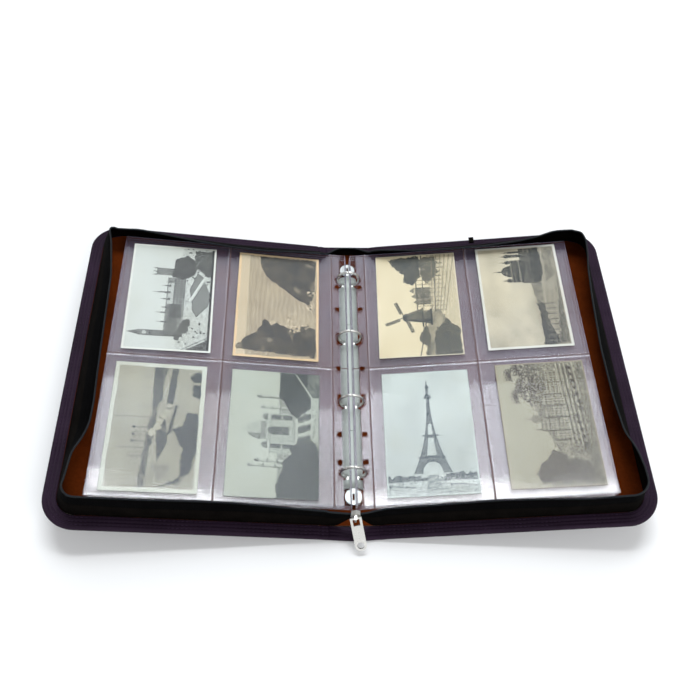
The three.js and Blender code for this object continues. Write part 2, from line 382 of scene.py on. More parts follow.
def coilMaterial():
    look = Look("blue_black_coil")
    point = look.objectPoint()
    base = coilLook["color"]
    scuff = look.place(mottle, point, Scale=300, Detail=3, Low=0.3, High=0.75, Dark=base,
                       Light=scaled(base, 2.6))
    low = coilLook["roughness"] - 0.1
    high = coilLook["roughness"] + 0.1
    look.feed("Base Color", scuff.outputs["Color"])
    look.feed("Roughness", look.span(scuff.outputs["Value"], low, high, 0.3, 0.7))
    look.bump(scuff.outputs["Value"], 0.05 * mm, 0.4)
    look.set(Specular_IOR_Level=0.25)
    return look.material


nickelLook = {"color": (0.80, 0.80, 0.77), "roughness": 0.24, "metal": 1.0}
plateLook = {"color": (0.54, 0.60, 0.57), "roughness": 0.55, "metal": 0.2}
leverLook = {"color": (0.56, 0.59, 0.59), "roughness": 0.38, "metal": 0.7}


def metalMaterial(name, values, brush):
    look = Look(name)
    point = look.objectPoint()
    stretch = look.node("ShaderNodeMapping")
    stretch.inputs["Scale"].default_value = brush
    look.link(point, stretch.inputs["Vector"])
    lines = look.texture("ShaderNodeTexNoise", 90, stretch.outputs["Vector"], Detail=4.0)
    base = values["color"]
    smudge = look.place(mottle, point, Scale=55, Detail=4, Low=0.3, High=0.7, Dark=scaled(base, 0.82),
                        Light=base)
    look.feed("Base Color", smudge.outputs["Color"])
    low = values["roughness"] - 0.07
    high = values["roughness"] + 0.1
    look.feed("Roughness", look.span(smudge.outputs["Value"], low, high, 0.3, 0.7))
    look.bump(lines.outputs["Fac"], 0.02 * mm, 0.35)
    look.set(Metallic=values["metal"])
    return look.material


# A line across a flat sheet, at one place and of one half width
def lineGroup():
    inputs = {"Coordinate": "Float", "Place": "Float", "Half Width": "Float"}
    group, given, made = newGroup("flat line", inputs, {"Mask": "Float"})
    offset, size, share = (group.nodes.new("ShaderNodeMath") for _ in range(3))
    offset.operation = "SUBTRACT"
    size.operation = "ABSOLUTE"
    share.operation = "DIVIDE"
    fade = group.nodes.new("ShaderNodeMapRange")
    fade.interpolation_type = "SMOOTHSTEP"
    fade.inputs["From Min"].default_value = 1.3
    fade.inputs["From Max"].default_value = 0.7
    for source, target in (
        (given["Coordinate"], offset.inputs[0]), (given["Place"], offset.inputs[1]),
        (offset.outputs[0], size.inputs[0]), (size.outputs[0], share.inputs[0]),
        (given["Half Width"], share.inputs[1]), (share.outputs[0], fade.inputs["Value"]),
        (fade.outputs["Result"], made["Mask"]),
    ):
        group.links.new(source, target)
    return group


flatLine = lineGroup()


# The film's colour, laid on at its cover, is painted reflection of the bright room, a haze over what lies beneath;
# the pale weld colour is a painted highlight.
filmLook = {"color": (0.24, 0.21, 0.31), "weld": (0.075, 0.018, 0.010), "painted_weld_highlight": (0.62, 0.60, 0.70),
            "cover": 0.145, "topCover": 0.06, "roughness": 0.07, "gloss": 2.3, "waves": 1.0 * mm}


# Clear film, whose milky haze is painted reflection of the bright room. Over a sheet it is clearest along
# the ring margin; the top one has its welds, each with a painted highlight beside it, and its painted
# reflection is stronger towards the front, as painted glare.
def filmMaterial(name, cover, sheet=True, top=False):
    look = Look(name)
    point = look.objectPoint()
    long = look.texture("ShaderNodeTexNoise", 13, point, Detail=2.0, Distortion=0.5)
    ripples = look.texture("ShaderNodeTexNoise", 60, point, Detail=2.0)
    tone = filmLook["color"]
    # The film's haze colour and alpha are painted reflection of the bright room, varying in patches.
    painted_reflection = look.place(mottle, point, Scale=9, Detail=4, Low=0.3, High=0.7, Dark=scaled(tone, 0.8),
                      Light=scaled(tone, 1.15))
    color = painted_reflection.outputs["Color"]
    alpha = look.span(painted_reflection.outputs["Value"], cover * 0.8, cover * 1.25, 0.3, 0.7)
    if sheet:
        split = look.node("ShaderNodeSeparateXYZ")
        look.link(look.flatPoint(), split.inputs[0])
        alpha = look.math("MULTIPLY", alpha, look.span(split.outputs["X"], 0.1, 1, 8.6 * mm, 10 * mm))
    if top:
        # Painted glare: the top film's painted reflection haze is stronger towards the front and weaker at the
        # back.
        alpha = look.math("MULTIPLY", alpha, look.span(split.outputs["Y"], 1.35, 0.7, -leafHalf, leafHalf))
        masks = {"dark": [], "light": []}
        # Each weld is a dark line in its own colour, with a painted highlight line beside it where its ridge would
        # catch the light.
        welds = (("X", columnSeam, 1.7 * mm), ("X", marginSeam, 1.5 * mm), ("Y", 0.0, -2.2 * mm))
        for axis, spot, shift in welds:
            for part, at in (("dark", spot), ("light", spot + shift)):
                line = look.place(flatLine, split.outputs[axis], Place=at)
                line.inputs["Half Width"].default_value = 0.65 * mm
                masks[part].append(line.outputs["Mask"])
        # The light lines get the pale painted highlight colour, and the dark lines get the welds' own colour.
        for part, paint, more in (("light", filmLook["painted_weld_highlight"], 0.14), ("dark", filmLook["weld"], 0.75)):
            mask = masks[part][0]
            for other in masks[part][1:]:
                mask = look.math("MAXIMUM", mask, other)
            mix = look.node("ShaderNodeMix", data_type="RGBA")
            look.link(mask, mix.inputs["Factor"])
            look.link(color, mix.inputs["A"])
            mix.inputs["B"].default_value = (*paint, 1)
            color = mix.outputs["Result"]
            alpha = look.math("ADD", alpha, look.math("MULTIPLY", mask, more))
        look.feed("Roughness", look.span(mask, filmLook["roughness"], 0.95))
    look.feed("Base Color", color)
    look.feed("Alpha", alpha)
    if sheet:
        first = look.bump(long.outputs["Fac"], filmLook["waves"], 0.6)
        look.bump(ripples.outputs["Fac"], 0.03 * mm, 0.3, first)
    roughness = filmLook["roughness"] if sheet else 0.2
    look.set(Roughness=roughness, IOR=filmLook["gloss"], Specular_IOR_Level=0.5)
    return look.material


def cardMaterial():
    look = Look("printed_card")
    picture = look.node("ShaderNodeAttribute", attribute_name="picture")
    point = look.objectPoint()
    grain = look.texture("ShaderNodeTexNoise", 900, point, Detail=3.0)
    stain = look.place(mottle, point, Scale=18, Detail=5, Low=0.35, High=0.6, Dark=(0.9, 0.88, 0.84),
                       Light=(1.0, 1.0, 1.0))
    look.feed("Base Color", look.times(picture.outputs["Color"], stain.outputs["Color"]))
    look.bump(grain.outputs["Fac"], 0.04 * mm, 0.4)
    look.set(Roughness=0.55, Specular_IOR_Level=0.35)
    return look.material


boardLook = {"color": (0.17, 0.15, 0.125)}


def boardMaterial():
    look = Look("grey_board")
    point = look.objectPoint()
    base = boardLook["color"]
    fibre = look.place(mottle, point, Scale=400, Detail=4, Low=0.3, High=0.7, Dark=scaled(base, 0.75),
                       Light=scaled(base, 1.2))
    look.feed("Base Color", fibre.outputs["Color"])
    look.bump(fibre.outputs["Value"], 0.08 * mm, 0.5)
    look.set(Roughness=0.9)
    return look.material


floorLook = {"color": (0.93, 0.94, 0.95)}


def floorMaterial():
    look = Look("pale_floor")
    point = look.objectPoint()
    base = floorLook["color"]
    fine = look.place(mottle, point, Scale=3, Detail=2, Low=0.3, High=0.7, Dark=scaled(base, 0.99),
                      Light=base)
    look.feed("Base Color", fine.outputs["Color"])
    look.set(Roughness=0.8, Specular_IOR_Level=0.0)
    return look.material


leather = leatherMaterial()
suede = suedeMaterial()
cloth = clothMaterial()
thread = clothMaterial("plum_thread", (0.036, 0.022, 0.042), (0.036, 0.022, 0.042))
coilNylon = coilMaterial()
nickel = metalMaterial("satin_nickel", nickelLook, (1, 1, 1))
plateNickel = metalMaterial("pale_plate_nickel", plateLook, (30, 1, 30))
leverNickel = metalMaterial("lever_nickel", leverLook, (1, 1, 1))
film = filmMaterial("clear_film", filmLook["cover"])
topFilm = filmMaterial("top_film", filmLook["topCover"], top=True)
filmEdge = filmMaterial("film_edge", 0.3, sheet=False)
cardPrint = cardMaterial()
greyBoard = boardMaterial()
print("materials made")


def dress(piece, material, body=None):
    piece.data.materials.clear()
    piece.data.materials.append(material)
    if body:
        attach(piece, body)


def bendAtGutter(piece):
    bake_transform(piece)


# Outline of a cover's free edges: places, inward directions and running length
def edgePath(start, step, radius=cornerRadius, inset=0.0):
    reach = coverReach - inset
    half = coverHalf - inset
    turn = radius - inset
    places = []
    inward = []
    straight = np.linspace(start, reach - turn, max(2, int((reach - turn - start) / step)))
    for u in straight[:-1]:
        places.append((u, -half))
        inward.append((0, 1))
    count = max(6, int(turn * math.pi / 2 / step))
    for i in range(count + 1):
        angle = -math.pi / 2 + math.pi / 2 * i / count
        places.append((reach - turn + turn * math.cos(angle), -half + turn + turn * math.sin(angle)))
        inward.append((-math.cos(angle), -math.sin(angle)))
    side = np.linspace(-half + turn, half - turn, int((2 * half - 2 * turn) / step))
    for y in side[1:-1]:
        places.append((reach, y))
        inward.append((-1, 0))
    for i in range(count + 1):
        angle = math.pi / 2 * i / count
        places.append((reach - turn + turn * math.cos(angle), half - turn + turn * math.sin(angle)))
        inward.append((-math.cos(angle), -math.sin(angle)))
    for u in straight[::-1][1:]:
        places.append((u, half))
        inward.append((0, -1))
    places = np.array(places)
    inward = np.array(inward, float)
    lengths = np.concatenate([[0], np.cumsum(np.linalg.norm(np.diff(places, axis=0), axis=1))])
    return places, inward, lengths


# The padded, stitched edge's section: distance in from the edge, and height
bindingSection = np.array([
    (9.0, -2.3), (6.0, -2.45), (2.5, -2.5), (0.9, -2.2), (0.2, -1.4), (0.0, -0.2), (0.2, 1.1), (0.8, 2.0),
    (1.8, 2.55), (2.9, 2.75), (3.8, 2.55), (4.3, 2.2), (4.8, 2.55), (5.9, 2.85), (7.0, 2.6), (7.5, 2.25),
    (8.0, 2.6), (9.3, 2.9), (10.6, 2.7), (11.2, 2.35), (11.7, 2.65), (12.5, 2.7), (13.0, 2.3), (13.2, 1.2),
    (13.0, -1.2),
]) * mm
stitchLook = {"lines": [4.3 * mm, 7.5 * mm, 11.2 * mm], "pitch": 4.1 * mm, "half": 1.35 * mm,
              "radius": 0.34 * mm, "height": 2.42 * mm}
crease = {"left": 0.9 * mm, "right": 0.45 * mm}


def pinch(u, word):
    return crease[word] * np.exp(-(((u - gutterEnd) / (1.1 * mm)) ** 2))


def buildBinding(word):
    side = sides[word]
    places, inward, lengths = edgePath(gutterStart, 3 * mm)
    fineEnd = 4 * gutterEnd
    fine = np.linspace(gutterStart, fineEnd, 22)
    kept = places[:, 0] > fineEnd + 1 * mm
    front = [(u, -coverHalf) for u in fine]
    back = [(u, coverHalf) for u in fine[::-1]]
    places = np.concatenate([front, places[kept], back])
    inward = np.concatenate([[(0, 1)] * len(fine), inward[kept], [(0, -1)] * len(fine)])
    lengths = np.concatenate([[0], np.cumsum(np.linalg.norm(np.diff(places, axis=0), axis=1))])
    d = bindingSection[:, 0]
    z = bindingSection[:, 1]
    swell = 0.10 * mm * np.sin(lengths / stitchLook["pitch"] * 2 * math.pi) * 0.5
    wander = np.interp(lengths, np.linspace(0, lengths[-1], 40),
                       np.random.default_rng(5).normal(0, 0.18 * mm, 40))
    u = places[:, :1] + inward[:, :1] * d
    y = places[:, 1:] + inward[:, 1:] * d
    top = np.where(z > 2 * mm, 1.0, 0.0)
    height = z + top * (swell + wander)[:, None] - pinch(places[:, 0], word)[:, None] * (z > 0)
    points = place(side, u, y, height)
    girth = np.cumsum(np.hypot(np.gradient(d), np.gradient(z)))
    flat = np.stack(np.broadcast_arrays(lengths[:, None], girth), -1)
    piece = gridPiece(f"{word}_stitched_edge", points, flat, wrap=True, flip=side > 0, caps=True)
    dress(piece, leather)
    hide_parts(f"{word}_cover_binding")
    bendAtGutter(piece)
    return places, inward, lengths


def capsule(centre, direction, up, length, radius):
    across = np.cross(direction, up)
    rings = [(-0.5, 0.35), (-0.36, 0.85), (0, 1.0), (0.36, 0.85), (0.5, 0.35)]
    points = []
    for along, wide in rings:
        for k in range(6):
            angle = 2 * math.pi * k / 6
            lift = 0.25 * radius * (1 - (2 * along) ** 2)
            offset = across * math.cos(angle) + up * math.sin(angle)
            points.append(centre + direction * along * length + offset * radius * wide + up * lift)
    return points


def buildStitches(word, places, inward, lengths):
    side = sides[word]
    pitch = stitchLook["pitch"]
    half = stitchLook["half"]
    count = int(lengths[-1] / pitch)
    points = []
    faces = []
    for line in stitchLook["lines"]:
        u = places[:, 0] + inward[:, 0] * line
        y = places[:, 1] + inward[:, 1] * line
        for k in range(count):
            middle = (k + 0.5) * pitch
            run = [np.interp([middle - half, middle + half], lengths, v) for v in (u, y)]
            lift = stitchLook["height"] - float(pinch(np.array(run[0][0]), word))
            ends = place(side, run[0], run[1], lift)
            direction = ends[1] - ends[0]
            size = np.linalg.norm(direction)
            direction = direction / size
            up = np.array([-side * math.sin(tilt), 0, math.cos(tilt)])
            first = len(points)
            points += capsule(ends.mean(0), direction, up, size, stitchLook["radius"])
            faces += [tuple(first + i for i in quad) for quad in gridFaces(5, 6, True)]
            faces += [tuple(first + i for i in range(5, -1, -1)), tuple(first + 24 + i for i in range(6))]
    piece = makeObject(f"{word}_edge_stitches", np.array(points), faces, np.array(points)[:, :2])
    dress(piece, thread)
    bendAtGutter(piece)


def reachAt(y, inset):
    turn = cornerRadius - inset
    past = np.clip(np.abs(y) - (coverHalf - inset - turn), 0, turn)
    return coverReach - inset - turn + np.sqrt(turn**2 - past**2)


# A sheet over a cover's face, out to the outline at one inset, from the gutter's spine side
def faceSheet(word, name, inset, z, rows, columns, wave, flip):
    side = sides[word]
    half = coverHalf - inset
    y = half * np.sin(np.linspace(-math.pi / 2, math.pi / 2, rows)) * 0.15
    y = y + half * np.linspace(-1, 1, rows) * 0.85
    fine = 16 * mm
    gutter = np.linspace(0, 1, 14)[:-1] * fine
    share = np.linspace(0, 1, columns)
    u = np.concatenate([
        np.repeat((gutterStart + gutter)[None, :], rows, 0),
        gutterStart + fine + share[None, :] * (reachAt(y, inset)[:, None] - gutterStart - fine),
    ], 1)
    yy = np.repeat(y[:, None], u.shape[1], 1)
    dent = np.exp(-(((u - gutterEnd) / (1.5 * mm)) ** 2)) * 0.5 * mm
    fade = smooth(np.minimum(half - np.abs(yy), 12 * mm) / (12 * mm))
    bumps = (fractalNoise(3 + side, rows, u.shape[1], 6) - 0.5) * wave * fade
    points = place(side, u, yy, z + bumps - dent * (1 if z > 0 else -1))
    flat = np.stack([u, yy], -1)
    piece = gridPiece(f"{word}_{name}", points, flat, flip=flip)
    return piece


def buildCoverFaces(word):
    side = sides[word]
    lining = faceSheet(word, "suede_lining", bindingWidth, liningZ - 0.1 * mm, 60, 50, 0.5 * mm, side < 0)
    dress(lining, suede)
    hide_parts(f"{word}_cover_lining")
    bendAtGutter(lining)
    outside = faceSheet(word, "leather_outside", 2 * mm, leatherZ, 60, 50, 0.15 * mm, side > 0)
    dress(outside, leather)
    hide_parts(f"{word}_cover_skin")
    bendAtGutter(outside)


def buildSpine():
    reach = hingeX + gutterStart
    edge = coverHalf
    x = np.linspace(-reach, reach, 25)
    y = np.linspace(-edge + 2 * mm, edge - 2 * mm, 60)
    xx, yy = np.meshgrid(x, y)
    low = np.full_like(xx, hingeZ + leatherZ - spineDrop)
    points = np.stack([xx, yy, low], -1)
    under = gridPiece("spine_leather_outside", points, np.stack([xx, yy], -1), flip=True)
    dress(under, leather, "spine")
    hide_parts("spine_skin")
    inner = edge - bindingWidth
    y = np.linspace(-inner, inner, 60)
    xx, yy = np.meshgrid(x, y)
    high = hingeZ + liningZ - 0.1 * mm - spineDrop + (fractalNoise(9, *xx.shape, 6) - 0.5) * 0.2 * mm
    top = gridPiece("spine_suede_lining", np.stack([xx, yy, high], -1), np.stack([xx, yy], -1))
    dress(top, suede, "spine")
    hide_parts("spine_lining")
    for word, end in (("front", -1), ("back", 1)):
        d = bindingSection[:, 0]
        z = bindingSection[:, 1]
        rows = np.linspace(-reach, reach, 40)
        bulge = 1.2 * mm * np.cos(rows / reach * math.pi / 2) if end < 0 else rows * 0
        x2 = np.repeat(rows[:, None], len(d), 1)
        y2 = end * (edge - d[None, :] + bulge[:, None])
        lift = 0.15 * mm * np.sin(rows / (5 * mm))[:, None] * (z > 2 * mm)
        z2 = hingeZ - spineDrop + np.repeat(z[None, :], len(rows), 0) + lift
        flat = np.stack(np.broadcast_arrays(x2, d[None, :]), -1)
        piece = gridPiece(f"spine_stitched_edge_{word}", np.stack([x2, y2, z2], -1), flat, wrap=True,
                          flip=end < 0, caps=True)
        dress(piece, leather, "spine")
        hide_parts(f"spine_binding_{word}")


# How far the tape leans in, in degrees, along its run: front, corner, side, corner, back
leanShape = {
    "left": [(0, 0), (0.04, 1), (0.086, 4.5), (0.132, 8), (0.178, 7.5), (0.224, 6), (0.294, 6), (0.326, 15),
             (0.361, 20), (0.38, 32), (0.40, 40), (0.426, 41), (0.468, 38), (0.539, 34.5), (0.60, 32),
             (0.65, 22), (0.671, 14), (0.69, 26), (0.71, 26), (0.727, 24), (0.75, 27), (0.773, 31),
             (0.796, 34.5), (0.842, 40), (0.888, 41.5), (0.933, 38.5), (1, 34)],
    "right": [(0, 4), (0.04, 4.5), (0.086, 6), (0.132, 7.5), (0.155, 8), (0.20, 6), (0.246, 2.5), (0.30, 4),
              (0.338, 5), (0.361, 10), (0.384, 22), (0.43, 27), (0.4985, 28), (0.567, 23), (0.613, 18),
              (0.636, 13), (0.659, 10), (0.69, 20), (0.71, 18), (0.727, 18), (0.75, 27), (0.773, 32),
              (0.819, 36.5), (0.865, 37.5), (0.911, 35.5), (0.956, 30), (1, 28)],
}


def tapeColumns(word):
    half = coverHalf - wallInset
    sliderEnd = 3.2 * mm
    lowest = 12 * mm
    frontEnd = -hingeX + sliderEnd
    backEnd = -hingeX
    places, inward, _ = edgePath(frontEnd, 2.5 * mm, cornerRadius, wallInset)
    tail = np.linspace(frontEnd, backEnd, 3)[1:]
    places = np.concatenate([places, [(u, half) for u in tail]])
    inward = np.concatenate([inward, [(0, -1) for _ in tail]])
    lengths = np.concatenate([[0], np.cumsum(np.linalg.norm(np.diff(places, axis=0), axis=1))])
    share = lengths / lengths[-1]
    x = places[:, 0] + hingeX
    front = places[:, 1] < 0
    foot = np.full(len(x), tapeFoot)
    length = np.full(len(x), tapeHeight)
    lift = np.interp(x, [sliderEnd, 17 * mm], [20.5 * mm, 0])
    target = np.interp(x, [sliderEnd, 30 * mm], [28.5 * mm, tapeHeight])
    dip = lowest + (tapeHeight - lowest) * smooth((x - 1 * mm) / (46 * mm))
    foot = np.where(front, foot + lift, foot)
    length = np.where(front, np.where(x < 30 * mm, target - lift, tapeHeight), dip)
    keys = np.array(leanShape[word])
    lean = np.radians(np.interp(share, keys[:, 0], keys[:, 1]))
    soft = np.ones(5) / 5
    lean = np.convolve(np.pad(lean, 2, "edge"), soft, "valid")
    lean = lean * smooth((x - 2 * mm) / (24 * mm))
    return places, inward, lengths, foot, length, lean


def buildTape(word):
    side = sides[word]
    places, inward, lengths, foot, length, lean = tapeColumns(word)
    steps = 14
    q = np.linspace(0, 1, steps)
    angle = lean[:, None] * (0.45 + 1.1 * q[None, :])
    ds = length[:, None] / (steps - 1)
    along = np.concatenate([np.zeros((len(lean), 1)), np.cumsum(np.sin(angle[:, 1:]) * ds, 1)], 1)
    up = np.concatenate([np.zeros((len(lean), 1)), np.cumsum(np.cos(angle[:, 1:]) * ds, 1)], 1)
    wave = np.sin(lengths / (38 * mm))[:, None] * 0.7 * mm * np.sin(q * math.pi)[None, :]
    seam = 0.35 * mm * np.exp(-(((q - 0.62) / 0.04) ** 2))[None, :]
    inwardBy = along + wave + seam
    u = places[:, :1] + inward[:, :1] * inwardBy
    y = places[:, 1:] + inward[:, 1:] * inwardBy
    points = place(side, u, y, foot[:, None] + up)
    flat = np.stack(np.broadcast_arrays(lengths[:, None], q[None, :] * tapeHeight), -1)
    piece = gridPiece(f"{word}_zip_tape", points, flat, flip=side > 0)
    dress(piece, cloth)
    nodes = [f"{word}_gusset", f"web_front_{word}"] + (["web_back"] if word == "left" else [])
    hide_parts(*nodes)
    bendAtGutter(piece)
    return points[:, -1], points[:, -2]


# The coil of fine teeth on the tape's free edge
def buildCoil(word, top, below):
    side = sides[word]
    lengths = np.concatenate([[0], np.cumsum(np.linalg.norm(np.diff(top, axis=0), axis=1))])
    stepsPerTooth = 4
    count = int(lengths[-1] / coilLook["pitch"]) * stepsPerTooth
    s = np.linspace(0, lengths[-1], count)
    centre = np.stack([np.interp(s, lengths, top[:, k]) for k in range(3)], -1)
    lower = np.stack([np.interp(s, lengths, below[:, k]) for k in range(3)], -1)
    up = centre - lower
    up /= np.linalg.norm(up, axis=1)[:, None]
    forward = np.gradient(centre, axis=0)
    forward /= np.linalg.norm(forward, axis=1)[:, None]
    across = np.cross(forward, up)
    across /= np.linalg.norm(across, axis=1)[:, None]
    phase = np.arange(count) % stepsPerTooth / stepsPerTooth
    tooth = 0.78 + 0.22 * np.cos(phase * 2 * math.pi)
    angles = np.linspace(0, 2 * math.pi, 8, endpoint=False)
    wide = 1.15 * mm * tooth[:, None] * np.cos(angles)[None, :]
    tall = 1.0 * mm * tooth[:, None] * np.sin(angles)[None, :]
    points = centre[:, None] + across[:, None] * wide[..., None] + up[:, None] * (tall[..., None] + 0.6 * mm)
    piece = gridPiece(f"{word}_coil_teeth", points, None, wrap=True, caps=True, flip=side < 0)
    dress(piece, coilNylon)
    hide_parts(f"{word}_zip_coil")
    bendAtGutter(piece)


def sweepRound(centre, radius, sidesCount=14):
    forward = np.gradient(centre, axis=0)
    forward /= np.linalg.norm(forward, axis=1)[:, None]
    first = np.tile([0.0, 1.0, 0.0], (len(centre), 1))
    second = np.cross(forward, first)
    second /= np.linalg.norm(second, axis=1)[:, None]
    angles = np.linspace(0, 2 * math.pi, sidesCount, endpoint=False)
    ring = first[:, None] * np.cos(angles)[None, :, None] + second[:, None] * np.sin(angles)[None, :, None]
    return centre[:, None] + ring * radius[:, None, None]


def buildRings():
    footX = 6.5 * mm
    for word, side in sides.items():
        start = 0.15 * mm / ringRadius
        stop = math.pi - math.asin(footX / ringRadius)
        turns = np.linspace(start, stop, 40)
        radius = np.full(40, wireRadius)
        radius[0] = wireRadius * 0.8
        for i, y in enumerate(ringSpots):
            centre = np.stack([
                side * ringRadius * np.sin(turns), np.full(40, y), ringZ + ringRadius * np.cos(turns)], -1)
            points = sweepRound(centre, radius)
            piece = gridPiece(f"{word}_ring_wire_{i + 1}", points, None, wrap=True, caps=True, flip=side > 0)
            dress(piece, nickel, f"{word}_rings")
            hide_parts(f"{word}_ring_{i + 1}")


def buildBasePlate():
    low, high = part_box("ring_base_plate")
    half = high[0]
    rise = high[2] - low[2]
    x = np.linspace(-1, 1, 33)
    archX = half * np.sin(x * math.pi / 2) * 0.35 + half * x * 0.65
    archZ = low[2] + rise * (1 - np.abs(archX / half) ** 2.6)
    cuts = [low[1], high[1]]
    slotHalf = 2.3 * mm
    for y in ringSpots:
        cuts += [y - slotHalf, y + slotHalf]
    ends = sorted(cuts)
    ys = []
    for a, b in zip(ends[:-1], ends[1:]):
        count = max(1, int((b - a) / (6 * mm)))
        ys += list(np.linspace(a, b, count + 1)[:-1])
    ys.append(ends[-1])
    ys = np.array(ys)
    points = np.stack(np.broadcast_arrays(archX[None, :], ys[:, None], archZ[None, :]), -1)
    faces = []
    columns = len(archX)
    for i in range(len(ys) - 1):
        middle = (ys[i] + ys[i + 1]) / 2
        slotted = any(abs(middle - y) < slotHalf for y in ringSpots)
        for j in range(columns - 1):
            if slotted and abs(archX[j] + archX[j + 1]) / 2 > 4.4 * mm:
                continue
            k = i * columns + j
            faces.append((k, k + 1, k + columns + 1, k + columns))
    piece = makeObject("ring_base_arch", points, faces)
    solid = piece.modifiers.new("sheet", "SOLIDIFY")
    solid.thickness = 0.9 * mm
    solid.offset = -1
    dress(piece, plateNickel, "spine")
    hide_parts("ring_base_plate")


def roundEdges(node, width, segments=3):
    piece = frame["nodes"][node]
    bevel = piece.modifiers.new("edges", "BEVEL")
    bevel.width = width
    bevel.segments = segments
    bevel.limit_method = "ANGLE"
    bevel.angle_limit = math.radians(32)


def dressNodes():
    looks = {
        "nickel": nickel,
        "plate_nickel": plateNickel,
        "board": greyBoard,
        "black_cloth": cloth,
        "leatherette": leather,
    }
    for entry in frame["record"]["subparts"]:
        piece = frame["nodes"][entry["node"]]
        chosen = looks.get(entry["material_slot"])
        if chosen is None or piece.hide_render:
            continue
        if "lever" in entry["node"]:
            chosen = leverNickel
        elif "rivet" in entry["node"]:
            chosen = plateNickel
        for slot in piece.material_slots:
            slot.material = chosen
    for node, width in (
        ("zip_slider", 0.6 * mm), ("zip_puller", 0.45 * mm), ("opening_lever_front", 0.35 * mm),
        ("opening_lever_back", 0.35 * mm), ("base_rivet_front", 0.15 * mm), ("base_rivet_back", 0.15 * mm),
    ):
        roundEdges(node, width)


holeLook = {"small": 2.9 * mm, "large": 3.2 * mm, "slot": 4.3 * mm, "stagger": 0.75, "ringReach": 3 * mm}


# The punched holes of a leaf's margin: place along the spine, radius and half the slot's extra length
def holes():
    small = holeLook["small"]
    large = holeLook["large"]
    found = [(0.0, small, 0.0)]
    for end in (-1, 1):
        found += [(end * 120 * mm, large, 0.0), (end * 109 * mm, small, 0.0)]
        found += [(end * 78 * mm, small, 0.0), (end * 38.5 * mm, large, holeLook["slot"])]
    return found


looseHoleU = math.sqrt(ringRadius**2 - leafDepths[0]**2)


def filmSheet(word, name, depth, z, relief, body):
    side = sides[word]
    holeU = math.sqrt(ringRadius**2 - depth**2)
    inner = max(0.6 * mm, holeU - leafBack)
    outer = holeU + leafReach
    margin = np.linspace(inner, marginSeam + 2 * mm, 26)
    pocket = np.linspace(marginSeam + 2 * mm, outer, 80)[1:]
    near = columnSeam + np.linspace(-2.4, 2.4, 13) * mm
    pocket = pocket[np.abs(pocket - columnSeam) > 2.6 * mm]
    edge = outer - np.linspace(0.2, 2, 5) * mm
    u = np.unique(np.round(np.concatenate([margin, pocket, near, edge]), 6))
    y = np.linspace(-leafHalf, leafHalf, 400)
    uu, yy = np.meshgrid(u, y)
    gone = np.zeros(uu.shape, bool)
    stagger = holeLook["stagger"] * (depth - leafDepths[0])
    for holeY, radius, extra in holes():
        onRing = min(abs(holeY - spot) for spot in ringSpots) < holeLook["ringReach"]
        du = uu - (holeU if onRing else looseHoleU)
        dy = yy - np.clip(yy, holeY - extra, holeY + extra + stagger)
        away = np.hypot(du, dy)
        ring = (away > radius * 0.72) & (away < radius * 1.28)
        pull = np.where(ring, radius / np.maximum(away, 1e-9), 1.0)
        uu = uu + du * (pull - 1)
        yy = yy + dy * (pull - 1)
        gone |= away <= radius * 0.72
    height = np.full(uu.shape, z)
    if relief:
        for line in (marginSeam, columnSeam):
            far = np.abs(uu - line)
            height = height - 0.15 * mm * np.exp(-((far / (0.8 * mm)) ** 2))
            height = height + 0.1 * mm * np.exp(-(((far - 1.5 * mm) / (0.5 * mm)) ** 2))
        far = np.abs(yy)
        pockets = smooth((uu - marginSeam - 0.5 * mm) / (0.5 * mm))
        height = height - 0.18 * mm * pockets * np.exp(-((far / (0.7 * mm)) ** 2))
        height = height + 0.28 * mm * pockets * np.exp(-(((far - 1.35 * mm) / (0.5 * mm)) ** 2))
    points = placeLeaf(side, uu, yy, height)
    rows, columns = uu.shape
    lost = gone.ravel()
    faces = []
    for quad in gridFaces(rows, columns, flip=side < 0):
        if not any(lost[i] for i in quad):
            faces.append(quad)
    piece = makeObject(f"{word}_{name}", points, faces, np.stack([uu, yy], -1))
    dress(piece, topFilm if relief else film, body)
    return piece, inner, outer


def edgeBead(word, name, inner, outer, z, body):
    side = sides[word]
    corners = [(inner, -leafHalf), (outer, -leafHalf), (outer, leafHalf), (inner, leafHalf)]
    path = []
    for (u0, y0), (u1, y1) in zip(corners, corners[1:] + corners[:1]):
        for t in np.linspace(0, 1, 60)[:-1]:
            path.append((u0 + (u1 - u0) * t, y0 + (y1 - y0) * t))
    path = np.array(path)
    middle = path.mean(0)
    away = path - middle
    outward = np.where(np.abs(away[:, :1] / (outer - inner)) > np.abs(away[:, 1:] / (2 * leafHalf)),
                       [[1, 0]], [[0, 1]]) * np.sign(away)
    points = []
    for k in range(6):
        angle = 2 * math.pi * k / 6
        flatPart = path + outward * math.cos(angle) * 0.55 * mm - outward * 0.4 * mm
        points.append(placeLeaf(side, flatPart[:, 0], flatPart[:, 1], z + math.sin(angle) * 0.3 * mm))
    points = np.array(points)
    points = np.concatenate([points, points[:1]])
    piece = gridPiece(f"{word}_{name}", points, None, wrap=True, flip=side > 0)
    dress(piece, filmEdge, body)
    return piece


def squashWithCover(piece):
    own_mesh(piece)


# Pictures on the cards. A picture is a grid of tones, 0 dark to 1 light, in millimetres from its
# lower left corner; each helper gives a mask, and fill, speckle or ripples paints it.


cardLook = {"step": 0.6 * mm, "wide": 90 * mm, "tall": 140 * mm, "curl": 0.1 * mm,
            "thick": 0.34 * mm, "edge": (0.66, 0.63, 0.55)}


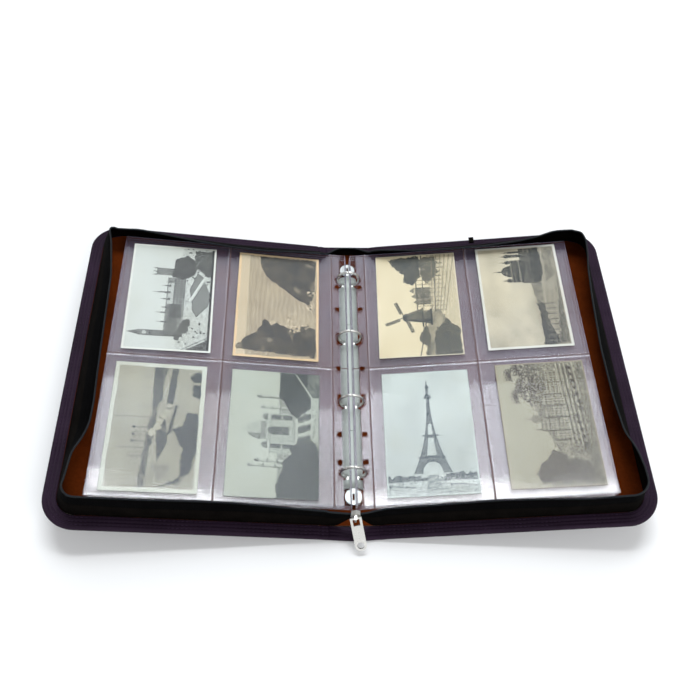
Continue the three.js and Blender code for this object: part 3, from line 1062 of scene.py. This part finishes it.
class Picture:
    def __init__(self, seed, wide, tall):
        self.rng = np.random.default_rng(seed)
        self.seed = seed
        self.columns = round(wide / cardLook["step"] * mm) + 1
        self.rows = round(tall / cardLook["step"] * mm) + 1
        self.x, self.y = np.meshgrid(np.linspace(0, wide, self.columns), np.linspace(0, tall, self.rows))
        self.wide = wide
        self.tall = tall
        self.tone = np.ones((self.rows, self.columns))

    def noise(self, cells, octaves=4):
        self.seed += 1
        return fractalNoise(self.seed, self.rows, self.columns, cells, octaves) - 0.5

    def sky(self, low, high, clouds=0.1, cells=3):
        self.tone = low + (high - low) * self.y / self.tall + clouds * self.noise(cells, 4) * 2

    def fill(self, mask, tone, rough=0.08, cells=40):
        painted = tone + rough * self.noise(cells, 2) * 2
        self.tone = np.where(mask, painted, self.tone)

    # Small crisp spots over a share of the mask
    def speckle(self, mask, share, tone, size=2):
        shape = (self.rows // size + 1, self.columns // size + 1)
        spots = self.rng.random(shape) < share
        spots = np.repeat(np.repeat(spots, size, 0), size, 1)[:self.rows, :self.columns]
        self.tone = np.where(mask & spots, tone, self.tone)

    def below(self, level, rough=0.0, cells=12):
        edge = level + rough * self.noise(cells)[0][None, :] * 2
        return edge > self.y

    def block(self, x0, x1, y0, y1):
        return (self.x > x0) & (self.x < x1) & (self.y > y0) & (self.y < y1)

    # The inside of an outline, whose edge may be rough
    def outline(self, corners, rough=0.0):
        x = self.x + rough * self.noise(34, 2) * 2
        y = self.y + rough * self.noise(34, 2) * 2
        inside = np.zeros(x.shape, bool)
        for (x0, y0), (x1, y1) in zip(corners, corners[1:] + corners[:1]):
            if y0 != y1:
                crosses = (y0 > y) != (y1 > y)
                inside ^= crosses & (x < (x1 - x0) * (y - y0) / (y1 - y0) + x0)
        return inside

    def spire(self, x, half, y0, y1):
        rise = (self.y - y0) / (y1 - y0)
        return (np.abs(self.x - x) < half * (1 - rise)) & (rise > 0)

    def dome(self, x, y, radius, tallness=1.0):
        return (np.hypot(self.x - x, (self.y - y) / tallness) < radius) & (self.y > y)

    def tree(self, x, y, radius):
        return np.hypot(self.x - x, self.y - y) + radius * 0.9 * self.noise(40, 3) < radius

    def line(self, x0, y0, x1, y1, width):
        length = math.hypot(x1 - x0, y1 - y0)
        t = np.clip(((self.x - x0) * (x1 - x0) + (self.y - y0) * (y1 - y0)) / length**2, 0, 1)
        return np.hypot(self.x - x0 - t * (x1 - x0), self.y - y0 - t * (y1 - y0)) < width / 2

    def windows(self, mask, pitchX, pitchY, depth=0.3):
        pane = ((self.x / pitchX) % 1 < 0.5) & ((self.y / pitchY) % 1 < 0.6)
        self.tone = np.where(mask & pane, self.tone - depth, self.tone)

    def ripples(self, mask, pitch, depth):
        bend = self.y / pitch * 2 * math.pi + 9 * self.noise(9, 3)
        sheen = depth * np.sin(bend) * self.rng.random(self.tone.shape)
        self.tone = np.where(mask, self.tone + sheen, self.tone)

    # A dark leafy mass with light flecks
    def foliage(self, mask, tone, flecks=0.05, light=0.45):
        self.fill(mask, tone, 0.1, 60)
        self.speckle(mask, flecks, light)
        self.speckle(mask, flecks * 1.5, tone - 0.1)

    def colors(self, ink, paper, border=0.0, borderColor=None, edge=0.3):
        grain = self.tone + 0.04 * (self.rng.random(self.tone.shape) - 0.5)
        tone = np.clip(grain, 0, 1)[..., None] ** 1.8
        image = np.array(ink) * (1 - tone) + np.array(paper) * tone
        if border:
            wander = edge * self.noise(10, 2)
            inside = (self.x > border + wander) & (self.x < self.wide - border + wander)
            inside &= (self.y > border + wander) & (self.y < self.tall - border + wander)
            image = np.where(inside[..., None], image, np.array(borderColor))
        return image


def palaceGardens():
    p = Picture(11, 140, 90)
    p.sky(0.92, 0.97, 0.03)
    p.fill(p.below(36, 2, 10), 0.86, 0.1)
    p.speckle(p.below(34), 0.035, 0.1, 3)
    p.speckle(p.below(34), 0.05, 0.6)
    body = p.block(24, 95, 31, 50)
    p.fill(body, 0.55, 0.15)
    p.fill(p.block(60, 88, 43, 49), 0.8, 0.06)
    p.fill(p.block(42, 60, 33, 46), 0.36, 0.1)
    p.fill(p.block(24, 42, 36, 48), 0.48, 0.1)
    p.windows(p.block(60, 94, 31, 43), 3.1, 3.4, 0.35)
    p.windows(p.block(24, 60, 38, 50), 2.6, 4.2, 0.12)
    for x, top in ((36, 58), (48, 60), (55, 56), (66, 57), (75, 66), (84, 56), (89, 52)):
        p.fill(p.spire(x, 1.6, 46, top), 0.42, 0.15)
    p.fill(p.block(98, 108, 40, 63), 0.5, 0.1)
    for x in (98.6, 103, 107.4):
        p.fill(p.spire(x, 1.1, 62, 68), 0.4, 0.1)
    p.windows(p.block(98, 108, 42, 62), 2.6, 30, 0.14)
    tower = p.block(18, 25, 30, 74) | p.spire(21.5, 3.6, 74, 87)
    p.fill(tower, 0.45, 0.15)
    p.windows(tower & (p.y < 64), 2.1, 30, 0.14)
    p.fill(np.hypot(p.x - 21.5, p.y - 69) < 2.1, 0.85, 0.05)
    p.fill(p.line(18, 30, 18, 70, 0.8), 0.15, 0.05)
    p.foliage(p.outline([(96, 46), (122, 44), (128, 30), (118, 18), (100, 22), (93, 34)], 2), 0.26, 0.06)
    p.foliage(p.outline([(112, 22), (136, 24), (136, 2), (96, 2), (103, 12)], 2), 0.3, 0.07, 0.6)
    p.foliage(p.tree(28, 30, 6) | p.tree(36, 27, 5) | p.tree(16, 36, 3), 0.34, 0.08)
    for lawn in ([(91, 11), (74, 4), (60, 6), (45, 17), (54, 22), (65, 22.5)],
                 [(103, 18.6), (98, 12.7), (71, 23.7), (80, 26)]):
        p.fill(p.outline(lawn), 0.5, 0.05)
        for (x0, y0), (x1, y1) in zip(lawn, lawn[1:] + lawn[:1]):
            p.fill(p.line(x0, y0, x1, y1, 0.8), 0.22, 0.1)
    p.fill(p.line(95, 12.5, 66, 25, 2.2), 0.96, 0.03)
    p.fill(p.outline([(2, 2), (17, 2), (2, 26)]), 0.3, 0.1)
    p.fill(p.line(20, 2, 2, 30, 0.8), 0.3, 0.1)
    p.fill(p.below(4.5, 0), 0.12, 0.1)
    return p.colors((0.012, 0.015, 0.014), (0.64, 0.70, 0.66), 2.2, (0.76, 0.80, 0.75))


def seaCliffs():
    p = Picture(23, 140, 90)
    p.sky(0.8, 0.92, 0.05)
    sea = p.y < 77.5
    p.fill(sea, 0.72, 0.07, 8)
    p.ripples(sea, 5, 0.09)
    p.speckle(p.outline([(30, 50), (80, 20), (84, 12), (30, 20)], 6), 0.08, 0.92)
    head = p.outline([(137, 66.8), (120, 64.3), (106, 57), (95, 43), (86, 30.7), (79, 22.5), (73, 11.9),
                      (81, 6), (137, 3)], 1.6)
    rocks = p.outline([(9.7, 89), (24, 80), (33, 66), (49, 59), (48, 54.5), (41.5, 51), (46, 44.7),
                       (42.5, 39), (39.6, 29), (34.7, 24), (44, 18.4), (42.5, 3), (4, 3)], 2)
    for mass in (head, rocks):
        p.fill(mass, 0.2, 0.12, 14)
        p.speckle(mass, 0.03, 0.45)
        p.fill(mass & (p.noise(12, 3) > 0.16), 0.42, 0.2)
    for x, y, r in ((40, 26, 6), (52, 31, 4), (90, 8, 5), (70, 8, 5), (44, 14, 4), (47, 50, 3)):
        surf = p.tree(x, y, r)
        p.speckle(surf, 0.45, 0.92)
        p.speckle(surf, 0.2, 0.05)
    return p.colors((0.018, 0.024, 0.024), (0.70, 0.60, 0.42), 2.4, (0.76, 0.58, 0.35))


def harbour():
    p = Picture(37, 140, 90)
    p.sky(0.80, 0.92, 0.16, 3)
    river = p.outline([(0, 52), (140, 34), (140, 0), (0, 0)])
    p.fill(river, 0.84, 0.06, 8)
    p.ripples(river, 5, 0.05)
    quay = p.outline([(0, 56), (40, 54), (96, 48), (136, 46), (136, 38), (96, 44), (40, 48), (0, 50)], 1.4)
    p.fill(quay, 0.55, 0.2)
    p.speckle(quay, 0.2, 0.25)
    p.fill(p.outline([(86, 50), (136, 52), (136, 44), (98, 40)], 1), 0.4, 0.12)
    for x, reach in ((12, 60), (36, 66), (45, 80), (62, 64), (78, 84), (90, 64), (112, 62), (124, 60)):
        p.fill(p.line(x, 48, x, reach, 0.5), 0.5, 0.1)
    for x in (52, 59, 67):
        p.fill(p.line(x, 50, x, 66, 0.7), 0.6, 0.1)
        p.fill(p.block(x - 1.1, x + 1.1, 63, 66), 0.15, 0.05)
    p.fill(p.outline([(46, 50), (70, 52), (84, 46), (70, 44), (48, 46)], 1), 0.42, 0.2)
    for hull in ([(30, 40), (74, 45), (84, 37), (52, 32)], [(84, 37), (136, 34), (136, 28), (90, 30)],
                 [(58, 34), (92, 28), (94, 25), (62, 29)]):
        p.fill(p.outline(hull, 0.8), 0.3, 0.12)
        p.speckle(p.outline(hull, 0.8), 0.15, 0.6)
    for x, y, r in ((62, 47, 4), (68, 43, 4), (74, 41, 3.4), (80, 38, 3), (86, 35, 3), (92, 33, 2.6)):
        p.fill(p.tree(x, y, r), 0.98, 0.04)
    bank = p.outline([(4, 40), (10, 18), (44, 17), (66, 28), (72, 18), (86, 16), (84, 4), (50, 3),
                      (20, 10)], 2.4)
    p.foliage(bank, 0.27, 0.04, 0.5)
    p.foliage(p.tree(110, 5, 8) | p.tree(126, 9, 6) | p.tree(64, 14, 9), 0.27, 0.03, 0.5)
    for k in range(7):
        p.fill(p.line(28, 44 - 2 * k, 12 + 2 * k, 36 - 1.5 * k, 0.7), 0.45, 0.1)
    p.fill(p.line(30, 6, 6, 20, 1.0), 0.3, 0.1)
    return p.colors((0.020, 0.036, 0.050), (0.41, 0.42, 0.34), 4.2, (0.58, 0.63, 0.56))


def domedHall():
    p = Picture(41, 140, 90)
    p.sky(0.93, 0.96, 0.03)
    p.fill(p.block(0, 140, 30, 41), 0.72, 0.12)
    p.speckle(p.block(0, 140, 30, 40), 0.2, 0.45)
    for x, top, foot in ((110, 61, 30), (97.7, 57, 31), (39, 61, 32), (33.5, 67, 32)):
        slim = p.block(x - 1.5, x + 1.5, foot, top)
        p.fill(slim, 0.9, 0.05)
        p.fill(p.block(x - 1.5, x - 0.6, foot, top), 0.4, 0.1)
        for share in (0.3, 0.62, 0.94):
            level = foot + (top - foot) * share
            p.fill(p.block(x - 2, x + 2, level, level + 1.1), 0.4, 0.1)
        p.fill(p.dome(x, top, 1.8, 1.5), 0.5, 0.1)
    hall = p.block(47, 91, 25, 50) | p.block(60, 84, 25, 53)
    p.fill(hall, 0.82, 0.06)
    p.fill(p.block(62, 82, 53, 58), 0.62, 0.1)
    raised = p.dome(72, 58, 10.4, 1.35) | p.spire(72, 1.4, 70, 80)
    p.fill(raised, 0.84, 0.05)
    p.fill(raised & (p.x < 68), 0.56, 0.08)
    for x in (56, 87):
        p.fill(p.dome(x, 51, 4.2, 1.5), 0.55, 0.1)
    arches = ((72, 30, 46, 4.5), (55, 38, 46, 2.6), (55, 27, 34, 2.6), (87, 38, 46, 2.6), (87, 27, 34, 2.6))
    for x, y0, y1, half in arches:
        p.fill(p.block(x - half, x + half, y0, y1) | p.dome(x, y1, half, 1.2), 0.36, 0.1)
    for y in (26, 36, 48):
        p.fill(p.block(47, 91, y, y + 0.8), 0.6, 0.1)
    p.fill(p.below(24.6, 0), 0.5, 0.25)
    p.fill(p.block(46, 92, 21.5, 24.5), 0.9, 0.05)
    for k, x in enumerate(range(60, 98, 6)):
        strip = p.outline([(x, 22), (x + 3, 22), (x + 9, 8), (x + 4, 8)])
        p.fill(strip, 0.9 if k % 2 else 0.32, 0.1)
    p.fill(p.block(56, 112, 1, 8.5), 0.88, 0.06)
    p.speckle(p.block(56, 100, 2, 7), 0.12, 0.3)
    leftGrove = p.outline([(0, 41), (12, 42), (30, 36), (40, 35), (47, 27), (56, 30), (60, 20), (62, 8),
                           (52, 0), (0, 0)], 2.2)
    p.foliage(leftGrove, 0.27, 0.05, 0.45)
    rightGrove = p.outline([(140, 41), (112, 41), (96, 31), (90, 27), (86, 22), (96, 12), (108, 8),
                            (118, 14), (140, 10)], 2.2)
    p.foliage(rightGrove, 0.24, 0.06, 0.5)
    p.fill(p.line(112, 8, 138, 24, 1.6), 0.85, 0.1)
    return p.colors((0.013, 0.026, 0.030), (0.46, 0.52, 0.45))


def windmillCanal():
    p = Picture(53, 140, 90)
    p.sky(0.93, 0.96, 0.02)
    p.fill(p.below(32, 1, 6), 0.82, 0.08)
    p.ripples(p.below(32), 4, 0.06)
    ground = p.outline([(0, 40), (60, 34), (60, 22), (30, 4), (0, 0)], 2)
    p.fill(ground, 0.5, 0.2, 12)
    p.foliage(p.outline([(0, 30), (30, 30), (48, 14), (34, 2), (0, 2)], 3), 0.26, 0.05)
    grove = p.outline([(134, 76), (122, 70), (112, 58), (100, 60), (96, 50), (108, 40), (138, 40)], 2.4)
    p.foliage(grove, 0.22, 0.05)
    p.foliage(p.outline([(96, 34), (112, 42), (136, 38), (136, 22), (112, 20)], 2.4), 0.34, 0.05, 0.7)
    p.foliage(p.outline([(20, 46), (34, 42), (44, 38), (30, 34), (8, 34)], 2.4), 0.3, 0.06)
    body = p.outline([(42, 32), (60, 32), (56, 58), (47, 58)])
    p.fill(body, 0.36, 0.14)
    p.fill(body & (p.x < 49), 0.2, 0.1)
    p.fill(p.block(38, 64, 40, 42) | p.block(40, 62, 30, 33), 0.16, 0.1)
    p.fill(p.dome(51.5, 58, 5.6, 0.9), 0.18, 0.1)
    for turn in range(4):
        angle = math.radians(20 + 90 * turn)
        c, s = math.cos(angle), math.sin(angle)
        cx, cy = 52, 61
        p.fill(p.line(cx, cy, cx + 22 * c, cy + 22 * s, 1.1), 0.15, 0.05)
        vane = p.line(cx + 7 * c - 1.8 * s, cy + 7 * s + 1.8 * c, cx + 21 * c - 1.8 * s,
                      cy + 21 * s + 1.8 * c, 3.2)
        p.fill(vane, 0.45, 0.1)
        p.speckle(vane, 0.2, 0.2)
    for x, level in ((72, 44), (80, 46), (88, 48)):
        p.fill(p.block(x - 4, x + 4, 30, level) | p.spire(x, 4.6, level, level + 6), 0.45, 0.15)
        p.windows(p.block(x - 3, x + 3, 32, level), 3, 4, 0.2)
    for x in range(60, 138, 6):
        p.fill(p.line(x, 14 + (x % 5), x, 46, 0.9), 0.3, 0.1)
    for y0, y1 in ((46, 46), (39, 38), (26, 24)):
        p.fill(p.line(58, y0, 138, y1, 1.0), 0.3, 0.1)
    for k in range(6):
        p.fill(p.line(58, 30 - 3 * k, 138, 26 - 5 * k, 0.8), 0.5, 0.2)
    p.fill(p.line(0, 46, 60, 34, 1.2), 0.2, 0.1)
    return p.colors((0.008, 0.022, 0.026), (0.80, 0.72, 0.49), 0.8, (0.73, 0.68, 0.52))


def riverChurch():
    p = Picture(67, 140, 90)
    p.sky(0.80, 0.90, 0.24, 3)
    p.fill(p.below(26, 1), 0.66, 0.1, 8)
    p.ripples(p.below(26), 5, 0.08)
    town = p.block(86, 136, 24, 42)
    p.fill(town, 0.34, 0.15)
    p.windows(town, 3.2, 4.6, 0.14)
    church = p.block(88, 120, 36, 52) | p.dome(104, 52, 8.5, 1.4) | p.spire(104, 1.3, 62, 74)
    for x in (91, 117, 126):
        church |= p.block(x - 2.2, x + 2.2, 36, 55) | p.dome(x, 55, 2.8, 1.6) | p.spire(x, 0.8, 58, 66)
    church |= p.block(130, 133, 36, 50) | p.spire(131.5, 1.8, 50, 62)
    p.fill(church, 0.22, 0.12)
    p.windows(church, 4, 5, 0.1)
    p.speckle(church, 0.08, 0.55)
    for level in (52, 43):
        p.fill(p.block(88, 120, level, level + 0.9), 0.5, 0.1)
    p.foliage(p.outline([(84, 32), (136, 30), (136, 20), (100, 18), (84, 24)], 2), 0.18, 0.04)
    p.fill(p.outline([(60, 30), (86, 34), (86, 22), (60, 24)], 1), 0.5, 0.15)
    p.foliage(p.outline([(4, 30), (30, 29), (58, 31), (58, 24), (30, 20), (4, 12)], 2.2), 0.2, 0.04)
    p.fill(p.line(60, 28, 4, 17, 2.2), 0.3, 0.1)
    for x in range(8, 60, 7):
        p.fill(p.line(x, 24, x, 12, 1.3), 0.35, 0.1)
    p.fill(p.outline([(4, 14), (40, 10), (100, 4), (4, 4)], 2), 0.4, 0.15)
    p.fill(p.outline([(86, 18), (136, 14), (136, 4), (96, 6)], 2), 0.5, 0.2)
    return p.colors((0.012, 0.020, 0.020), (0.66, 0.62, 0.47), 2.6, (0.70, 0.72, 0.66))


def latticeTower():
    p = Picture(71, 90, 140)
    p.sky(0.90, 0.95, 0.14, 3)
    middle = 46
    rise = p.y - 24
    half = 1.3 + 17.5 * np.clip(1 - rise / 96, 0, 1) ** 2.5
    outer = np.abs(p.x - middle) < half
    tower = outer & (rise > 0) & (rise < 96)
    arch = np.hypot((p.x - middle) / 10, rise / 12) < 1
    inner = np.abs(p.x - middle) < half * 0.42
    legs = tower & ~arch & ~(inner & (rise > 19) & (rise < 38)) & ~(inner & (rise > 42) & (rise < 54))
    cross = (((p.x + p.y) / 3.4) % 1 < 0.34) | (((p.x - p.y) / 3.4) % 1 < 0.34) | (half < 2.4)
    rim = legs & (np.abs(np.abs(p.x - middle) - half) < 1.0)
    p.fill(legs, 0.62, 0.1)
    p.fill((legs & cross) | rim, 0.25, 0.1)
    rimArch = np.abs(np.hypot((p.x - middle) / 10, rise / 12) - 1.08) < 0.08
    p.fill(rimArch & (rise > 0), 0.3, 0.1)
    for level, wide in ((16, 14), (40, 8.5), (83, 3.2)):
        p.fill(p.block(middle - wide, middle + wide, 24 + level, 26 + level), 0.2, 0.1)
    p.fill(p.dome(middle, 120, 2.2, 1.6) | p.line(middle, 120, middle, 128, 0.8), 0.2, 0.1)
    p.fill(p.dome(middle, 108, 4, 1.2), 0.28, 0.1)
    trees = p.below(22, 5, 16) & ~p.block(34, 58, 0, 40)
    p.foliage(trees, 0.32, 0.06, 0.6)
    p.foliage(p.below(19, 2, 20), 0.4, 0.1, 0.9)
    p.fill(p.below(15.5, 1, 10), 0.9, 0.06)
    p.speckle(p.below(15), 0.16, 0.5)
    p.speckle(p.below(12), 0.06, 0.15)
    p.fill(p.outline([(41, 22), (51, 22), (54, 6), (38, 6)]), 0.62, 0.15)
    p.speckle(p.block(36, 56, 6, 20), 0.12, 0.95)
    for x0, x1 in ((2, 28), (62, 88)):
        p.fill(p.line(x0, 12, x1, 9, 1.0), 0.35, 0.1)
    return p.colors((0.016, 0.042, 0.058), (0.56, 0.64, 0.61), 1.6, (0.54, 0.63, 0.60), 1.2)


def palmShore():
    p = Picture(83, 140, 90)
    p.sky(0.86, 0.92, 0.08, 3)
    slope = p.outline([(0, 52), (40, 40), (66, 50), (100, 58), (140, 60), (140, 0), (0, 0)], 2.4)
    p.fill(slope, 0.62, 0.2, 14)
    p.speckle(slope, 0.12, 0.9)
    p.speckle(slope, 0.10, 0.2)
    for x, tall, wide in ((66, 52, 6), (80, 48, 6), (94, 50, 6), (108, 46, 7), (122, 42, 7), (54, 42, 5)):
        house = p.block(x - wide, x + wide, 22, tall)
        p.fill(house, 0.78, 0.1)
        p.windows(house, 2.8, 4.2, 0.42)
        p.fill(p.block(x - wide, x - wide + 1.2, 22, tall), 0.3, 0.1)
        p.fill(p.block(x - wide, x + wide, tall - 1, tall), 0.35, 0.1)
    p.fill(p.dome(74, 56, 5, 1.0) | p.spire(74, 1, 60, 70) | p.block(70, 78, 50, 56), 0.6, 0.1)
    p.fill(p.spire(62, 1.4, 50, 62) | p.spire(84, 1.4, 50, 60), 0.6, 0.1)
    for k in range(9):
        level = 22 - 2.1 * k
        p.fill(p.line(44, level + 2, 138, level + 6, 0.8), 0.35 if k % 2 else 0.92, 0.15)
    for x, base, tall in ((98, 40, 72), (108, 42, 66), (124, 46, 76), (132, 44, 68)):
        p.fill(p.line(x, base, x + 3, tall, 1.0), 0.3, 0.1)
        for k in range(9):
            angle = math.radians(-20 + 27 * k)
            frond = p.line(x + 3, tall, x + 3 + 8 * math.cos(angle), tall + 6 * math.sin(angle), 1.7)
            p.speckle(frond, 0.8, 0.22)
    for x, y, r in ((104, 60, 9), (118, 62, 10), (134, 58, 9), (112, 50, 8), (94, 56, 6)):
        crown = p.tree(x, y, r)
        p.speckle(crown, 0.55, 0.25)
        p.speckle(crown, 0.2, 0.5)
    bushes = p.outline([(4, 58), (14, 66), (26, 56), (40, 44), (30, 30), (26, 12), (4, 4)], 3)
    p.foliage(bushes, 0.34, 0.1, 0.55)
    p.speckle(p.outline([(0, 12), (140, 8), (140, 0), (0, 0)]), 0.5, 0.5)
    for x in range(44, 136, 8):
        p.fill(p.tree(x, 10 + x % 7, 2.2), 0.22, 0.1)
    return p.colors((0.030, 0.024, 0.014), (0.41, 0.41, 0.30), 0.8, (0.34, 0.30, 0.20))


# Each card's picture, its turn in degrees, whether it stands upright and how its trim waves
cards = {
    "left": [
        {"paint": palaceGardens, "turn": 1.0},
        {"paint": seaCliffs, "turn": -0.3},
        {"paint": harbour, "turn": 0.2},
        {"paint": domedHall, "turn": -0.4},
    ],
    "right": [
        {"paint": windmillCanal, "turn": -0.6},
        {"paint": riverChurch, "turn": -0.3},
        {"paint": latticeTower, "turn": -0.2, "upright": True, "wave": 0.7 * mm},
        {"paint": palmShore, "turn": -0.3},
    ],
}


def buildCard(word, number, facts):
    side = sides[word]
    node = f"{word}_card_{number}"
    low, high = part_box(node)
    middle = (np.array(low) + np.array(high)) / 2
    centreU = side * middle[0] * math.cos(tilt) + (middle[2] - ringZ) * math.sin(tilt)
    centreZ = -side * middle[0] * math.sin(tilt) + (middle[2] - ringZ) * math.cos(tilt)
    upright = facts.get("upright", False)
    image = facts["paint"]()
    rows, columns = image.shape[:2]
    across = np.linspace(-0.5, 0.5, columns)
    along = np.linspace(-0.5, 0.5, rows)
    a, b = np.meshgrid(across, along)
    wave = facts.get("wave", 0)
    if upright:
        x = a * (cardLook["wide"] - 2 * wave * np.abs(np.sin(b * cardLook["tall"] / (5 * mm) * math.pi)))
        y = b * (cardLook["tall"] - 2 * wave * np.abs(np.sin(a * cardLook["wide"] / (5 * mm) * math.pi)))
    else:
        x = -b * cardLook["wide"]
        y = a * cardLook["tall"]
    turn = math.radians(facts["turn"])
    xr = x * math.cos(turn) - y * math.sin(turn)
    yr = x * math.sin(turn) + y * math.cos(turn)
    u = centreU + side * xr
    curl = cardLook["curl"] * (fractalNoise(number + 5, rows, columns, 2, 2) - 0.5) * 2
    face = placeLeaf(side, u, middle[1] + yr, centreZ + 0.18 * mm + curl)
    edge = list(range(columns))
    edge += [i * columns + columns - 1 for i in range(1, rows)]
    edge += [(rows - 1) * columns + j for j in range(columns - 2, -1, -1)]
    edge += [i * columns for i in range(rows - 2, 0, -1)]
    top = face.reshape(-1, 3)
    rim = top[edge] - np.array([-side * math.sin(tilt), 0, math.cos(tilt)]) * cardLook["thick"]
    first = len(top)
    count = len(edge)
    faces = gridFaces(rows, columns)
    for k in range(count):
        n = (k + 1) % count
        faces.append((edge[k], first + k, first + n, edge[n]))
    faces.append(tuple(first + k for k in range(count - 1, -1, -1)))
    points = np.concatenate([top, rim])
    flat = np.concatenate([np.stack([a, b], -1).reshape(-1, 2), np.zeros((count, 2))])
    piece = makeObject(f"{word}_postcard_{number}", points, faces, flat)
    paint = np.concatenate([image.reshape(-1, 3), np.tile(cardLook["edge"], (count, 1))])
    layer = piece.data.color_attributes.new("picture", "FLOAT_COLOR", "POINT")
    layer.data.foreach_set("color", np.concatenate([paint, np.ones((len(paint), 1))], 1).ravel())
    dress(piece, cardPrint, f"{word}_leaf")
    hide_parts(node)
    return piece


def buildLeaves(word):
    depth = leafDepths[0]
    body = f"{word}_leaf"
    front, inner, outer = filmSheet(word, "front_film", depth, -depth + 0.7 * mm, True, body)
    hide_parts(f"{word}_leaf_front_film")
    back, _, _ = filmSheet(word, "back_film", depth, -depth - 0.65 * mm, False, body)
    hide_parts(f"{word}_leaf_back_film")
    pieces = [front, back, edgeBead(word, "leaf_rim", inner, outer, -depth, body)]
    lowerBody = f"{word}_under_leaves"
    for i in (1, 2):
        depth = leafDepths[i]
        under, inner, outer = filmSheet(word, f"lower_leaf_{i}", depth, -depth, False, lowerBody)
        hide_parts(f"{word}_under_leaf_{i}")
        pieces += [under, edgeBead(word, f"lower_leaf_rim_{i}", inner, outer, -depth, lowerBody)]
    for number, facts in enumerate(cards[word], 1):
        pieces.append(buildCard(word, number, facts))
    for piece in pieces:
        squashWithCover(piece)


lightLook = {"overhead": 33, "back": 20, "front": 22, "glint": 16, "room": 0.28, "horizon": 1.0,
             "tint": (0.93, 0.97, 1.0)}


def buildStage():
    half = 3.0
    floor = makeObject("floor", [(-half, -half, 0), (half, -half, 0), (half, half, 0), (-half, half, 0)],
                       [(0, 1, 2, 3)])
    floor.data.materials.append(floorMaterial())
    world = bpy.data.worlds.new("pale_room")
    world.use_nodes = True
    background = world.node_tree.nodes["Background"]
    background.inputs["Color"].default_value = (1, 1, 1, 1)
    around = world.node_tree.nodes.new("ShaderNodeTexCoord")
    split = world.node_tree.nodes.new("ShaderNodeSeparateXYZ")
    rise = world.node_tree.nodes.new("ShaderNodeMapRange")
    rise.interpolation_type = "SMOOTHSTEP"
    rise.inputs["From Min"].default_value = 0.25
    rise.inputs["From Max"].default_value = 0.6
    rise.inputs["To Min"].default_value = lightLook["horizon"]
    rise.inputs["To Max"].default_value = lightLook["room"]
    world.node_tree.links.new(around.outputs["Generated"], split.inputs[0])
    world.node_tree.links.new(split.outputs["Z"], rise.inputs["Value"])
    world.node_tree.links.new(rise.outputs["Result"], background.inputs["Strength"])
    scene.world = world
    scene.view_settings.view_transform = "Standard"


# Place, size, power and colour of each softbox; all of them face the album's middle
lights = {
    "overhead_softbox": ((0.05, 1.08, 2.72), (1.85, 0.85), lightLook["overhead"], lightLook["tint"]),
    "back_softbox": ((0.05, 1.84, 2.16), (2.5, 1.1), lightLook["back"], lightLook["tint"]),
    "page_glint": ((0.05, 0.98, 2.95), (1.5, 0.3), lightLook["glint"], (1, 1, 1)),
    "front_fill": ((0.95, -1.5, 1.9), (1.6, 1.0), lightLook["front"], (1, 1, 1)),
}


def areaLight(name, spot, size, power, color):
    data = bpy.data.lights.new(name, "AREA")
    data.color = color
    data.shape = "RECTANGLE"
    data.size, data.size_y = size
    data.energy = power
    lamp = bpy.data.objects.new(name, data)
    lamp.location = spot
    lamp.rotation_euler = (-Vector(spot)).to_track_quat("-Z", "Y").to_euler()
    scene.collection.objects.link(lamp)


cameraView = {"yaw": -5.13, "pitch": 56.07, "roll": -4.51, "lens": 41.88, "at": (-0.0435, -0.4612, 0.743)}


def buildCamera():
    yaw, pitch, roll = (math.radians(cameraView[k]) for k in ("yaw", "pitch", "roll"))
    turn = Matrix.Rotation(yaw, 3, "Z") @ Matrix.Rotation(-pitch, 3, "X") @ Matrix.Rotation(roll, 3, "Y")
    right = turn @ Matrix.Identity(3).col[0]
    ahead = turn @ Matrix.Identity(3).col[1]
    up = turn @ Matrix.Identity(3).col[2]
    data = bpy.data.cameras.new("view")
    data.sensor_width = 36
    data.lens = cameraView["lens"]
    data.clip_start = 0.01
    data.clip_end = 20
    camera = bpy.data.objects.new("view", data)
    matrix = Matrix((right, up, -ahead)).transposed().to_4x4()
    matrix.translation = cameraView["at"]
    camera.matrix_world = matrix
    scene.collection.objects.link(camera)
    scene.camera = camera


buildStage()
buildCamera()
for name, facts in lights.items():
    areaLight(name, *facts)
print("stage made")
for word in sides:
    places, inward, lengths = buildBinding(word)
    buildStitches(word, places, inward, lengths)
    buildCoverFaces(word)
    tapeTop, tapeBelow = buildTape(word)
    buildCoil(word, tapeTop, tapeBelow)
    buildLeaves(word)
    print(word, "side made")
buildSpine()
buildRings()
buildBasePlate()
dressNodes()
print("pieces made")
